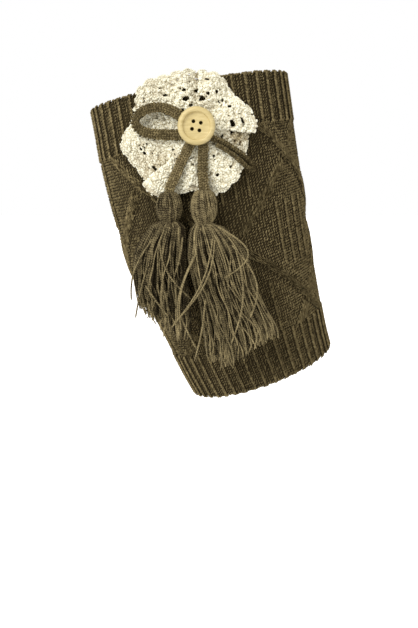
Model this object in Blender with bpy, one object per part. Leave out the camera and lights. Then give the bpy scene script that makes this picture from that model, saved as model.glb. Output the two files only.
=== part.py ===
"""Knitted leg warmer with a lace rosette, a wooden button and a bow with two tassels.

Frame: +Z up, the leg leans to +X on its way down, the rosette faces -Y. The origin is
the middle of the leg where the top cuff grips it. Lengths below are in millimetres and
angles in degrees; meshes are made in metres.
"""
import math
from collections import namedtuple

import bmesh
import bpy
from mathutils import Matrix, Vector

MM = 0.001
SEAM = 0.3                  # gap kept between neighbouring pieces

# The leg and the tube that is knitted for it
GRIP_DOWN = 15.0            # the origin lies this far below the top rim, along the leg
LEG_LEAN = 15.2             # the leg's axis against the vertical
DEPTH_RATIO = 0.92          # front-to-back size of the tube over its width
WALL = 2.0                  # thickness of the plain knit, behind the ribs

Section = namedtuple("Section", "down side lean half")
SECTIONS = [
    Section(0.0, -0.9, 10.6, 60.4),
    Section(12.0, -2.1, 11.2, 60.4),
    Section(36.0, -4.6, 12.6, 60.6),
    Section(65.0, -6.4, 14.2, 59.8),
    Section(87.0, -7.3, 15.4, 58.6),
    Section(104.0, -7.2, 16.3, 57.0),
    Section(134.0, -4.9, 18.0, 52.6),
    Section(162.0, -2.9, 19.5, 49.2),
    Section(179.0, -0.9, 20.2, 47.2),
]
LENGTH = SECTIONS[-1].down
TOP_CUFF_END = 29.0
BOTTOM_CUFF_START = 150.0

# Two-by-two ribs: each rib is two knit columns and two purl columns
RIBS = 45
RIB_TURN = 360.0 / RIBS
CUFF_COLUMNS = 4            # columns of points to a rib
BODY_COLUMNS = 3
VALLEY = -1.3               # heights of the outer face over the tube's mean surface
CREST = 0.2
LIP = 1.4                   # rounding of the open rims

# Raised lattice of the body: four repeats round, with ribs inside each diamond
REPEATS = 4
LATTICE_TURN = 53.0         # a crossing lies here
LATTICE_DOWN = 49.0
LATTICE_DROP = 89.0         # height of one diamond
LATTICE_WIDE = 88.0         # width of one diamond, along the surface
BAND_OVER = 2.2             # height of the bands that run down to the right
BAND_UNDER = 1.6            # height of the bands that pass beneath them
FIELD = 0.35                # height of the diamonds' plain field over the valleys
PANEL_HALF_WIDE = 17.0      # the ribbed panel in a diamond
PANEL_HALF_TALL = 20.0
BODY_ROWS = 22

# Lace rosette
LACE_ACROSS = -0.5
LACE_DOWN = 26.5
LACE_WALL = 1.4
LACE_SEAT = 0.9             # height of its underside over the tube, flat in the middle
LACE_STEPS = 72
SCALLOP = 0.9
LACE_RINGS = (0.12, 0.34, 0.56, 0.78, 1.0)
Flute = namedtuple("Flute", "turn reach height")
FLUTES = [
    Flute(20.0, 33.0, 4.0),
    Flute(55.0, 30.5, 3.0),
    Flute(90.0, 32.0, 4.0),
    Flute(122.0, 35.5, 3.5),
    Flute(176.0, 39.5, 5.0),
    Flute(221.0, 38.0, 5.0),
    Flute(256.0, 37.0, 2.5),
    Flute(290.0, 35.5, 5.5),
    Flute(345.0, 34.5, 4.5),
]

# Button
BUTTON_ACROSS = 1.8
BUTTON_DOWN = 24.0
BUTTON_LIFT = 6.6
BUTTON_RADIUS = 10.0
BUTTON_THICK = 4.0
BUTTON_DISH = 6.9           # radius of the sunk middle
BUTTON_SINK = 0.9
BUTTON_HOLE = 1.0
BUTTON_HOLE_OUT = 2.8
BUTTON_SIDES = 28
BUTTON_TURN = -23.0         # how far it is turned on its seat

# Bow and ties of flat knitted cord
CORD_WIDE = 5.2
CORD_THICK = 2.6
Stop = namedtuple("Stop", "across down lift stand")   # stand: 0 lies flat, 90 is on edge
LOOP_LEFT = [
    Stop(-2.6, 20.6, 4.7, 0.0),
    Stop(-6.8, 15.4, 5.0, 15.0),
    Stop(-13.5, 11.0, 6.8, 28.0),
    Stop(-20.0, 10.4, 8.6, 28.0),
    Stop(-25.2, 12.6, 10.0, 25.0),
    Stop(-26.8, 16.4, 10.4, 20.0),
    Stop(-24.2, 20.4, 9.6, 25.0),
    Stop(-18.5, 23.4, 7.8, 25.0),
    Stop(-11.5, 25.4, 5.6, 15.0),
    Stop(-4.6, 26.8, 4.7, 0.0),
]
LOOP_RIGHT = [
    Stop(8.6, 31.9, 6.2, 60.0),
    Stop(12.6, 34.4, 6.6, 75.0),
    Stop(18.2, 39.8, 7.2, 80.0),
    Stop(23.4, 45.6, 7.6, 80.0),
    Stop(25.4, 49.6, 7.8, 80.0),
    Stop(22.9, 50.2, 7.8, 80.0),
    Stop(19.4, 46.4, 7.6, 80.0),
    Stop(14.4, 40.6, 7.2, 80.0),
    Stop(10.0, 36.2, 6.8, 75.0),
]
TIE_LEFT = [
    Stop(-1.3, 30.6, 4.8, 0.0),
    Stop(-3.9, 34.0, 5.0, 0.0),
    Stop(-7.6, 38.8, 5.4, 5.0),
    Stop(-11.2, 44.4, 7.0, 5.0),
    Stop(-14.6, 50.0, 9.4, 0.0),
    Stop(-16.2, 53.0, 10.6, 0.0),
]
TIE_RIGHT = [
    Stop(4.4, 31.0, 4.8, 0.0),
    Stop(3.4, 35.6, 5.2, 0.0),
    Stop(2.2, 41.0, 6.2, -5.0),
    Stop(1.0, 47.0, 7.6, -5.0),
    Stop(0.4, 52.0, 9.4, 0.0),
    Stop(0.0, 55.8, 10.8, 0.0),
]
CORD_STEP = 3.2             # spacing of a cord's points

# Tassels: a wound head with locks of yarn fused to its underside
HEAD_SIDES = 18
HEAD_FLAT = 0.85            # front-to-back size of the head over its width
LOCK_RINGS = ((0.96, 0.62), (0.56, 0.2))      # outer and inner radius, as parts of the head's
LOCK_STEPS = (0.0, 0.08, 0.22, 0.45, 0.72, 1.0)
LOCK_FILL = 0.74            # part of its cell that a lock fills
NECK = 0.72                 # the tied neck, as a part of the head's radius
HEAD_PROFILE = ((0.0, 0.42), (0.12, 0.8), (0.4, 1.0), (0.7, 0.98), (0.88, 0.82), (1.0, NECK))
Tassel = namedtuple("Tassel", "name across down lift radius tall")
TASSEL_LEFT = Tassel("tassel_left", -16.4, 53.9, 10.6, 7.3, 16.0)
TASSEL_RIGHT = Tassel("tassel_right", -0.2, 56.8, 10.8, 7.4, 18.5)
# Skirt rows, from the head down: drop below the head, shift to +X, half width, and
# the front and back faces measured outward from the leg's middle plane
Skirt = namedtuple("Skirt", "drop shift half front back")
SKIRT_LEFT = [
    Skirt(3.0, -1.0, 9.8, 73.0, 59.2),
    Skirt(10.0, -3.4, 12.9, 75.0, 58.6),
    Skirt(20.0, -5.1, 14.6, 76.2, 58.0),
    Skirt(33.0, -5.9, 14.0, 75.4, 57.2),
    Skirt(48.0, -5.4, 12.4, 73.0, 56.0),
    Skirt(66.0, -3.8, 10.6, 69.0, 54.0),
]
SKIRT_RIGHT = [
    Skirt(3.0, 2.2, 10.0, 74.0, 59.2),
    Skirt(9.0, 4.8, 13.6, 77.8, 58.4),
    Skirt(18.0, 7.6, 16.6, 80.0, 57.8),
    Skirt(33.0, 11.2, 17.0, 79.2, 56.6),
    Skirt(46.0, 16.0, 18.4, 77.2, 55.0),
    Skirt(60.0, 20.4, 21.2, 74.5, 53.4),
    Skirt(81.0, 22.6, 20.4, 69.0, 50.5),
]
END_UNEVEN = 0.07           # how much neighbouring locks differ in length
SHORT_LEFT = (0.4, 0.13)    # where the longest locks hang, and how fast the rest shorten
SHORT_RIGHT = (-0.4, 0.14)

OLIVE = (0.112, 0.083, 0.037, 1.0)
CORD = (0.118, 0.088, 0.041, 1.0)
YARN = (0.150, 0.107, 0.049, 1.0)
CREAM = (0.78, 0.70, 0.52, 1.0)
PALE_WOOD = (0.74, 0.58, 0.30, 1.0)


def blend(rows, key, at):
    """Smooth values of a table's rows, looked up by its first column."""
    last = len(rows) - 2
    i = 0
    while i < last and key(rows[i + 1]) <= at:
        i += 1
    low, high = rows[i], rows[i + 1]
    span = key(high) - key(low)
    t = (at - key(low)) / span
    before = rows[i - 1] if i > 0 else low
    after = rows[i + 2] if i < last else high
    out = []
    for a, b, c, d in zip(before, low, high, after):
        if before is low:
            a = 2 * b - c
        if after is high:
            d = 2 * c - b
        out.append(0.5 * (2 * b + (c - a) * t + (2 * a - 5 * b + 4 * c - d) * t * t
                          + (3 * b - a - 3 * c + d) * t ** 3))
    return type(low)(*out)


def section_at(down):
    """The tube's section that far down the leg; past the rims it stays as at the rim."""
    return blend(SECTIONS, lambda row: row.down, min(max(down, 0.0), LENGTH))


LEAN = math.radians(LEG_LEAN)
AXIS = Vector((math.sin(LEAN), 0.0, -math.cos(LEAN)))
SIDE = Vector((math.cos(LEAN), 0.0, math.sin(LEAN)))


def centre_at(down):
    """The tube's middle, that far down the leg."""
    grip = section_at(GRIP_DOWN)
    here = section_at(down)
    return (down - GRIP_DOWN) * AXIS + (here.side - grip.side) * SIDE


def surface(turn, down, lift):
    """Point of the tube at a turn from the front towards +X, raised outward by lift."""
    row = section_at(down)
    tilt = math.radians(row.lean)
    right = Vector((math.cos(tilt), 0.0, math.sin(tilt)))
    angle = math.radians(turn)
    out = Vector((DEPTH_RATIO * math.sin(angle), -math.cos(angle))).normalized()
    across = row.half * math.sin(angle) + lift * out.x
    forward = -DEPTH_RATIO * row.half * math.cos(angle) + lift * out.y
    return (centre_at(down) + across * right + Vector((0.0, forward, 0.0))) * MM


def on_surface(across, down, lift):
    """The same for a distance along the surface from the front line."""
    turn = math.degrees(across / section_at(down).half)
    return surface(turn, down, lift)


def ease(value, low, high):
    t = min(max((value - low) / (high - low), 0.0), 1.0)
    return t * t * (3.0 - 2.0 * t)


def rib_wave(turn):
    """1 on a rib, 0 between two ribs."""
    phase = (turn / RIB_TURN + 0.5) % 1.0 - 0.5
    return 1.0 - ease(abs(phase), 0.17, 0.33)


def cuff_height(turn):
    return VALLEY + (CREST - VALLEY) * rib_wave(turn)


def body_height(turn, down):
    """Height of the body's outer face: crossing bands, and ribbed panels between them."""
    u = (turn - LATTICE_TURN) * REPEATS / 360.0
    v = (down - LATTICE_DOWN) / LATTICE_DROP
    scale = LATTICE_WIDE / math.sqrt(2.0)
    over = ((u - v + 0.5) % 1.0 - 0.5) * scale
    under = ((u + v + 0.5) % 1.0 - 0.5) * scale
    over_band = ease(over, -1.2, 1.4) * (1.0 - ease(over, 6.5, 11.0))
    under_band = 1.0 - ease(abs(under), 2.6, 5.6)
    groove = ease(over, -5.0, -1.8) * (1.0 - ease(over, -1.6, -0.6))
    panel = 0.0
    for shift_u, shift_v in ((0.0, 0.5), (0.5, 0.0)):
        wide = abs((u - shift_u + 0.5) % 1.0 - 0.5) * LATTICE_WIDE
        tall = abs((v - shift_v + 0.5) % 1.0 - 0.5) * LATTICE_DROP
        inside = 1.0 - ease(wide, PANEL_HALF_WIDE - 1.5, PANEL_HALF_WIDE + 1.5)
        inside *= 1.0 - ease(tall, PANEL_HALF_TALL - 1.5, PANEL_HALF_TALL + 1.5)
        panel = max(panel, inside)
    field = FIELD + panel * ((CREST - VALLEY) * rib_wave(turn) - FIELD)
    low = field - 0.5 * groove
    raised = max(low, BAND_UNDER * under_band)
    return VALLEY + max(low + (raised - low) * (1.0 - groove), BAND_OVER * over_band)


def make_object(name, bm, material):
    bmesh.ops.recalc_face_normals(bm, faces=bm.faces)
    mesh = bpy.data.meshes.new(name)
    bm.to_mesh(mesh)
    bm.free()
    mesh.materials.append(material)
    mesh.shade_smooth()
    mesh.set_sharp_from_angle(angle=math.radians(42.0))
    obj = bpy.data.objects.new(name, mesh)
    bpy.context.scene.collection.objects.link(obj)
    return obj


def make_material(name, colour, roughness):
    material = bpy.data.materials.new(name)
    material.use_nodes = True
    shader = material.node_tree.nodes["Principled BSDF"]
    shader.inputs["Base Color"].default_value = colour
    shader.inputs["Roughness"].default_value = roughness
    shader.inputs["Metallic"].default_value = 0.0
    return material


def tube(name, start, end, rows, per_rib, height, lips, material):
    """A stretch of the knitted tube, raised outside and plain inside."""
    bm = bmesh.new()
    columns = RIBS * per_rib
    first = 0.5 if per_rib % 2 == 0 else 0.0
    step = 360.0 / columns
    levels = [start + (end - start) * i / rows for i in range(rows + 1)]
    if "top" in lips:
        levels.insert(1, start + LIP)
    if "bottom" in lips:
        levels.insert(-1, end - LIP)
    outer = []
    lifts = []
    for i, down in enumerate(levels):
        rounded = ("top" in lips and i == 0) or ("bottom" in lips and i == len(levels) - 1)
        drop = 0.6 * LIP if rounded else 0.0
        turns = [(k - first) * step for k in range(columns)]
        lifts.append([height(turn, down) - drop for turn in turns])
        outer.append([bm.verts.new(surface(turn, down, lift))
                      for turn, lift in zip(turns, lifts[-1])])
    inner = []
    for i in range(rows + 1):
        down = start + (end - start) * i / rows
        if i % 2 and rows > 2:
            continue
        lift = VALLEY - WALL
        inner.append([bm.verts.new(surface((k * per_rib - first) * step, down, lift))
                      for k in range(RIBS)])
    for row, (upper, lower) in enumerate(zip(outer, outer[1:])):
        for k in range(columns):
            n = (k + 1) % columns
            a, b, c, d = upper[k], upper[n], lower[n], lower[k]
            falling = abs(lifts[row][k] - lifts[row + 1][n])
            rising = abs(lifts[row][n] - lifts[row + 1][k])
            if falling < rising:
                bm.faces.new((a, b, c))
                bm.faces.new((a, c, d))
            else:
                bm.faces.new((a, b, d))
                bm.faces.new((b, c, d))
    for upper, lower in zip(inner, inner[1:]):
        for k in range(RIBS):
            n = (k + 1) % RIBS
            bm.faces.new((upper[n], upper[k], lower[k], lower[n]))
    for rim, lining in ((outer[0], inner[0]), (outer[-1], inner[-1])):
        for k in range(RIBS):
            edge = [rim[(k * per_rib + j) % columns] for j in range(per_rib + 1)]
            bm.faces.new(edge + [lining[(k + 1) % RIBS], lining[k]])
    return make_object(name, bm, material)


def flute_at(turn):
    """Reach and height of the ruffle in one direction: high on a flute, low between two."""
    ring = FLUTES + [FLUTES[0]._replace(turn=FLUTES[0].turn + 360.0)]
    turn = (turn - FLUTES[0].turn) % 360.0 + FLUTES[0].turn
    for low, high in zip(ring, ring[1:]):
        if turn <= high.turn:
            t = (turn - low.turn) / (high.turn - low.turn)
            break
    mix = ease(t, 0.0, 1.0)
    reach = low.reach + (high.reach - low.reach) * mix - 1.2 * math.sin(math.pi * t) ** 2
    tall = low.height + (high.height - low.height) * mix
    return reach, tall * (0.5 + 0.5 * math.cos(2.0 * math.pi * t))


def lace_point(turn, part, lift):
    """Point of the rosette at a part of its reach; 0 degrees is +X and 90 is up."""
    reach, height = flute_at(turn)
    angle = math.radians(turn)
    across = LACE_ACROSS + part * reach * math.cos(angle)
    down = LACE_DOWN - part * reach * math.sin(angle)
    return on_surface(across, down, LACE_SEAT + lift + height * part ** 1.3)


def lace_rosette(material):
    bm = bmesh.new()
    faces = []
    for lift in (0.0, LACE_WALL):
        middle = bm.verts.new(on_surface(LACE_ACROSS, LACE_DOWN, LACE_SEAT + lift))
        rings = []
        for part in LACE_RINGS:
            ring = []
            for k in range(LACE_STEPS):
                turn = 360.0 * k / LACE_STEPS
                edge = SCALLOP * (-1) ** k / flute_at(turn)[0] if part == 1.0 else 0.0
                ring.append(bm.verts.new(lace_point(turn, part + edge, lift)))
            rings.append(ring)
        for k in range(LACE_STEPS):
            n = (k + 1) % LACE_STEPS
            bm.faces.new((middle, rings[0][k], rings[0][n]))
            for near, far in zip(rings, rings[1:]):
                bm.faces.new((near[k], far[k], far[n], near[n]))
        faces.append(rings[-1])
    under, top = faces
    for k in range(LACE_STEPS):
        n = (k + 1) % LACE_STEPS
        bm.faces.new((under[k], under[n], top[n], top[k]))
    return make_object("lace_rosette", bm, material)


def seat_frame(across, down, lift):
    """Matrix whose Z points straight out of the tube at that place, with X to the right."""
    place = on_surface(across, down, lift)
    out = (on_surface(across, down, lift + 1.0) - place).normalized()
    right = on_surface(across + 1.0, down, lift) - place
    right = (right - out * right.dot(out)).normalized()
    up = out.cross(right)
    rotation = Matrix((right, up, out)).transposed().to_4x4()
    return Matrix.Translation(place) @ rotation


def button(material):
    """Turned wooden disc with a raised rim, drilled with four holes."""
    profile = [
        (0.0, 0.0), (BUTTON_RADIUS - 1.6, 0.0), (BUTTON_RADIUS - 0.4, 0.7),
        (BUTTON_RADIUS, 2.0), (BUTTON_RADIUS - 0.5, 3.4), (BUTTON_RADIUS - 1.6, BUTTON_THICK),
        (BUTTON_DISH + 0.7, BUTTON_THICK - 0.2), (BUTTON_DISH, BUTTON_THICK - BUTTON_SINK),
        (0.0, BUTTON_THICK - BUTTON_SINK),
    ]
    bm = bmesh.new()
    points = [bm.verts.new(Vector((r, 0.0, z)) * MM) for r, z in profile]
    edges = [bm.edges.new(pair) for pair in zip(points, points[1:])]
    bmesh.ops.spin(bm, geom=points + edges, cent=(0, 0, 0), axis=(0, 0, 1),
                   angle=2.0 * math.pi, steps=BUTTON_SIDES, use_merge=True)
    bmesh.ops.remove_doubles(bm, verts=bm.verts, dist=0.01 * MM)
    obj = make_object("button", bm, material)
    obj.matrix_world = seat_frame(BUTTON_ACROSS, BUTTON_DOWN, BUTTON_LIFT)

    drill = bmesh.new()
    for k in range(4):
        angle = math.radians(BUTTON_TURN + 45.0 + 90.0 * k)
        place = Vector((math.cos(angle), math.sin(angle), 0.0)) * BUTTON_HOLE_OUT * MM
        place.z = BUTTON_THICK / 2.0 * MM
        bmesh.ops.create_cone(drill, cap_ends=True, segments=10, radius1=BUTTON_HOLE * MM,
                              radius2=BUTTON_HOLE * MM, depth=3.0 * BUTTON_THICK * MM,
                              matrix=Matrix.Translation(place))
    cutter = make_object("button_drill", drill, material)
    cutter.matrix_world = obj.matrix_world
    cutter.hide_render = True
    cutter.display_type = "WIRE"
    cut = obj.modifiers.new("holes", "BOOLEAN")
    cut.operation = "DIFFERENCE"
    cut.object = cutter
    return obj


def even_route(stops):
    """The route's smooth curve, read at even steps."""
    fine = []
    for i in range(len(stops) - 1):
        low, high = stops[i], stops[i + 1]
        before = stops[i - 1] if i else low
        after = stops[i + 2] if i + 2 < len(stops) else high
        for j in range(8):
            t = j / 8.0
            fine.append(Stop(*(
                0.5 * (2 * b + (c - a) * t + (2 * a - 5 * b + 4 * c - d) * t * t
                       + (3 * b - a - 3 * c + d) * t ** 3)
                for a, b, c, d in zip(before, low, high, after))))
    fine.append(stops[-1])
    gaps = [math.dist(a[:3], b[:3]) for a, b in zip(fine, fine[1:])]
    count = max(4, round(sum(gaps) / CORD_STEP))
    out, run, i = [fine[0]], 0.0, 0
    for k in range(1, count):
        aim = sum(gaps) * k / count
        while run + gaps[i] < aim:
            run += gaps[i]
            i += 1
        t = (aim - run) / gaps[i]
        out.append(Stop(*(a + (b - a) * t for a, b in zip(fine[i], fine[i + 1]))))
    return out + [fine[-1]]


def cord(name, stops, material):
    """A flat cord along a route, its face turned out from the leg."""
    frame = seat_frame(BUTTON_ACROSS, BUTTON_DOWN, 0.0)
    inverse = frame.inverted()
    route = even_route(stops)
    curve = bpy.data.curves.new(name, "CURVE")
    curve.dimensions = "3D"
    curve.twist_mode = "Z_UP"
    curve.fill_mode = "FULL"
    curve.bevel_depth = CORD_THICK / 2.0 * MM
    curve.extrude = (CORD_WIDE - CORD_THICK) / 2.0 * MM
    curve.bevel_resolution = 2
    curve.use_fill_caps = True
    spline = curve.splines.new("POLY")
    spline.points.add(len(route) - 1)
    for point, stop in zip(spline.points, route):
        point.co = (*(inverse @ on_surface(stop.across, stop.down, stop.lift)), 1.0)
        point.tilt = math.radians(90.0 - stop.stand)
    spline.use_smooth = True
    curve.materials.append(material)
    obj = bpy.data.objects.new(name, curve)
    obj.matrix_world = frame
    bpy.context.scene.collection.objects.link(obj)
    return obj


def skirt_point(place, base, rows, fall, x, y):
    """Where a lock passes: fall is 0 at the head and 1 at the tips, x and y in a unit disc."""
    drop = fall * rows[-1].drop
    if drop <= rows[0].drop:
        t = drop / rows[0].drop
        row = rows[0]
        radius = base.radius * NECK
        shift = row.shift * t
        half = radius + (row.half - radius) * t
        middle = (row.front + row.back) / 2.0
        thick = (row.front - row.back) / 2.0
        forward = -place.y / MM
        forward += (middle - forward) * t
        deep = HEAD_FLAT * radius + (thick - HEAD_FLAT * radius) * t
    else:
        row = blend(rows, lambda r: r.drop, drop)
        shift, half = row.shift, row.half
        forward = (row.front + row.back) / 2.0
        deep = (row.front - row.back) / 2.0
    return Vector((place.x + (shift + half * x) * MM, -(forward - deep * y) * MM,
                   place.z - drop * MM))


def tassel(base, rows, shorter, material):
    bm = bmesh.new()
    top = on_surface(base.across, base.down, base.lift)
    foot = top - Vector((0.0, 0.0, base.tall * MM))
    rings = []
    for part, wide in HEAD_PROFILE:
        ring = []
        for k in range(HEAD_SIDES):
            angle = 2.0 * math.pi * k / HEAD_SIDES
            spot = Vector((math.cos(angle), HEAD_FLAT * math.sin(angle), 0.0))
            spot *= base.radius * wide * MM
            ring.append(bm.verts.new(top.lerp(foot, part) + spot))
        rings.append(ring)
    bm.faces.new(rings[0])
    for upper, lower in zip(rings, rings[1:]):
        for k in range(HEAD_SIDES):
            n = (k + 1) % HEAD_SIDES
            bm.faces.new((upper[k], upper[n], lower[n], lower[k]))

    def disc(part):
        """A ring of the head's underside, as parts of its radius."""
        out = []
        for k in range(HEAD_SIDES):
            angle = 2.0 * math.pi * k / HEAD_SIDES
            spot = (part * math.cos(angle), part * math.sin(angle))
            out.append((spot, bm.verts.new(skirt_point(foot, base, rows, 0.0, *spot))))
        return out

    edge = [((math.cos(2.0 * math.pi * k / HEAD_SIDES), math.sin(2.0 * math.pi * k / HEAD_SIDES)),
             vert) for k, vert in enumerate(rings[-1])]
    for ring_number, (far, near) in enumerate(LOCK_RINGS):
        outer, inner = disc(far), disc(near)
        for k in range(HEAD_SIDES):
            n = (k + 1) % HEAD_SIDES
            bm.faces.new((edge[k][1], edge[n][1], outer[n][1], outer[k][1]))
            cell = [outer[k], outer[n], inner[n], inner[k]]
            lock(bm, cell, foot, base, rows, shorter, k + HEAD_SIDES * ring_number)
        edge = inner
    bm.faces.new([vert for _spot, vert in edge])
    return make_object(base.name, bm, material)


def lock(bm, cell, foot, base, rows, shorter, number):
    """One lock of yarn, grown from a cell of the head's underside."""
    middle = [sum(spot[i] for spot, _vert in cell) / 4.0 for i in (0, 1)]
    longest, loss = shorter
    end = 1.0 - loss * (middle[0] - longest) ** 2
    end -= END_UNEVEN * (0.5 + 0.5 * math.sin(2.4 * number + 0.7))
    curl = 0.05 * math.sin(1.7 * number)
    ring = [vert for _spot, vert in cell]
    for part in LOCK_STEPS:
        fall = part * end
        fill = LOCK_FILL * (1.0 if part < 1.0 else 0.62)
        turn = curl * math.sin(math.pi * fall)
        fresh = []
        for spot, _vert in cell:
            x = middle[0] + (spot[0] - middle[0]) * fill
            y = middle[1] + (spot[1] - middle[1]) * fill
            x, y = x - turn * y, y + turn * x
            fresh.append(bm.verts.new(skirt_point(foot, base, rows, fall, x, y)))
        for k in range(4):
            n = (k + 1) % 4
            bm.faces.new((ring[k], ring[n], fresh[n], fresh[k]))
        ring = fresh
    bm.faces.new(ring)


def main():
    for obj in list(bpy.data.objects):
        bpy.data.objects.remove(obj, do_unlink=True)
    knit = make_material("olive_knit", OLIVE, 0.95)
    flat_cord = make_material("cord_knit", CORD, 0.95)
    yarn = make_material("tassel_yarn", YARN, 0.9)
    lace = make_material("cream_lace", CREAM, 0.9)
    wood = make_material("pale_wood", PALE_WOOD, 0.5)

    half_seam = SEAM / 2.0
    tube("top_cuff", 0.0, TOP_CUFF_END - half_seam, 1, CUFF_COLUMNS,
         lambda turn, down: cuff_height(turn), ("top",), knit)
    tube("body", TOP_CUFF_END + half_seam, BOTTOM_CUFF_START - half_seam, BODY_ROWS,
         BODY_COLUMNS, body_height, (), knit)
    tube("bottom_cuff", BOTTOM_CUFF_START + half_seam, LENGTH, 1, CUFF_COLUMNS,
         lambda turn, down: cuff_height(turn), ("bottom",), knit)
    lace_rosette(lace)
    button(wood)
    cord("bow_loop_left", LOOP_LEFT, flat_cord)
    cord("bow_loop_right", LOOP_RIGHT, flat_cord)
    cord("tassel_cord_left", TIE_LEFT, flat_cord)
    cord("tassel_cord_right", TIE_RIGHT, flat_cord)
    tassel(TASSEL_LEFT, SKIRT_LEFT, SHORT_LEFT, yarn)
    tassel(TASSEL_RIGHT, SKIRT_RIGHT, SHORT_RIGHT, yarn)


main()
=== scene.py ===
# Knitted leg warmer with a lace rosette, button and tassels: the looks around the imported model.
# Lengths in the tables are millimetres, angles are degrees; meshes are metres.
import math

import bmesh
import bpy
import numpy as np
from mathutils import Matrix, Vector


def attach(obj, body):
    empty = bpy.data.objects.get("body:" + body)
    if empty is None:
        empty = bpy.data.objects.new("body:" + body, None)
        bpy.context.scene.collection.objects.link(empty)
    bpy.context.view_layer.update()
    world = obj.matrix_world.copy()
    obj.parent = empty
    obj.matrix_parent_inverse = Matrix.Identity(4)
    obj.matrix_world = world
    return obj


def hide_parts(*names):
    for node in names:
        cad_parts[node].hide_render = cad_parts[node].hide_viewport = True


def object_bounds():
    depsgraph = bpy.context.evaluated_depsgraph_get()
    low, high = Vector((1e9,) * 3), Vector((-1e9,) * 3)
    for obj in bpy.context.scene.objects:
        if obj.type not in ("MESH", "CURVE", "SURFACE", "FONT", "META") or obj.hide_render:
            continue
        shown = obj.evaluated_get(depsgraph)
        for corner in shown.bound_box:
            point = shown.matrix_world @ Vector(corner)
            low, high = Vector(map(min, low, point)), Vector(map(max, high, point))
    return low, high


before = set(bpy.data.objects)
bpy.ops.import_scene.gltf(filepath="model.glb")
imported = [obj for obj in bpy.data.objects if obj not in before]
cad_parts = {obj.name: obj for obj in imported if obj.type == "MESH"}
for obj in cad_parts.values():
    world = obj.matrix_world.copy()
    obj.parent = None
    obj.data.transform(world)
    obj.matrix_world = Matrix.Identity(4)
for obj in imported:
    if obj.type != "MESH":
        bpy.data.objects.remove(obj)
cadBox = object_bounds()
mm = 0.001


# The tube that everything is sewn to

tube = {
    "gripDown": 15.0,        # the frame's origin, down the leg from the top rim
    "lean": 15.2,
    "depthRatio": 0.92,
    "wall": 2.0,
    "valley": -1.3,          # heights of the outer face over the tube's mean surface
    "crest": 0.2,
    "ribs": 45,
    "topCuffEnd": 29.0,
    "bottomCuffStart": 150.0,
    # down the leg, sideways shift, tilt of the section, half width
    "sections": [
        (0.0, -0.9, 10.6, 60.4),
        (12.0, -2.1, 11.2, 60.4),
        (36.0, -4.6, 12.6, 60.6),
        (65.0, -6.4, 14.2, 59.8),
        (87.0, -7.3, 15.4, 58.6),
        (104.0, -7.2, 16.3, 57.0),
        (134.0, -4.9, 18.0, 52.6),
        (162.0, -2.9, 19.5, 49.2),
        (179.0, -0.9, 20.2, 47.2),
    ],
}
tube["length"] = tube["sections"][-1][0]

lattice = {
    "repeats": 4,
    "turn": 53.0,            # a crossing of two bands lies here
    "down": 49.0,
    "drop": 89.0,            # size of one diamond
    "wide": 88.0,
    "overHeight": 1.9,
    "underHeight": 1.4,
    "field": 0.35,
    "panelWide": 17.0,       # half sizes of the ribbed panel in a diamond
    "panelTall": 20.0,
    "bandSlant": 42.0,       # how far the stitches of a band lean to its side
}


def catmull(a, b, c, d, t):
    return 0.5 * (2 * b + (c - a) * t + (2 * a - 5 * b + 4 * c - d) * t * t
                  + (3 * b - a - 3 * c + d) * t ** 3)


def smoothRows(rows, perGap):
    # a table's rows as one smooth curve, the ends run on straight
    rows = np.array(rows, float)
    padded = np.vstack([2 * rows[0] - rows[1], rows, 2 * rows[-1] - rows[-2]])
    out = []
    for i in range(len(rows) - 1):
        for j in range(perGap):
            out.append(catmull(*padded[i:i + 4], j / perGap))
    out.append(rows[-1])
    return np.array(out)


tubeRows = smoothRows(tube["sections"], 40)


def ease(value, low, high):
    t = np.clip((value - low) / (high - low), 0.0, 1.0)
    return t * t * (3.0 - 2.0 * t)


def tubePoint(turn, down, lift):
    # a point of the tube, raised outward by lift; turn 0 is the front, 90 is +X
    turn, down, lift = np.broadcast_arrays(np.asarray(turn, float), down, lift)
    inside = np.clip(down, 0.0, tube["length"])
    side, tilt, half = (np.interp(inside, tubeRows[:, 0], tubeRows[:, k]) for k in (1, 2, 3))
    gripSide = np.interp(tube["gripDown"], tubeRows[:, 0], tubeRows[:, 1])
    lean = math.radians(tube["lean"])
    angle, tilt = np.radians(turn), np.radians(tilt)
    outX, outY = tube["depthRatio"] * np.sin(angle), -np.cos(angle)
    size = np.hypot(outX, outY)
    across = half * np.sin(angle) + lift * outX / size
    forward = -tube["depthRatio"] * half * np.cos(angle) + lift * outY / size
    run, shift = down - tube["gripDown"], side - gripSide
    x = run * math.sin(lean) + shift * math.cos(lean) + across * np.cos(tilt)
    z = -run * math.cos(lean) + shift * math.sin(lean) + across * np.sin(tilt)
    return np.stack([x, forward, z], axis=-1) * mm


def surfacePoint(across, down, lift):
    # the same for a distance along the surface from the front line
    half = np.interp(np.clip(down, 0.0, tube["length"]), tubeRows[:, 0], tubeRows[:, 3])
    return tubePoint(np.degrees(across / half), down, lift)


def ribWave(turn):
    phase = (turn * tube["ribs"] / 360.0 + 0.5) % 1.0 - 0.5
    return 1.0 - ease(np.abs(phase), 0.09, 0.28)


def cuffRelief(turn, down):
    wave = ribWave(turn) + 0.0 * down
    height = tube["valley"] + (tube["crest"] - tube["valley"]) * wave
    return height, wave, 0.0 * wave


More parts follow.
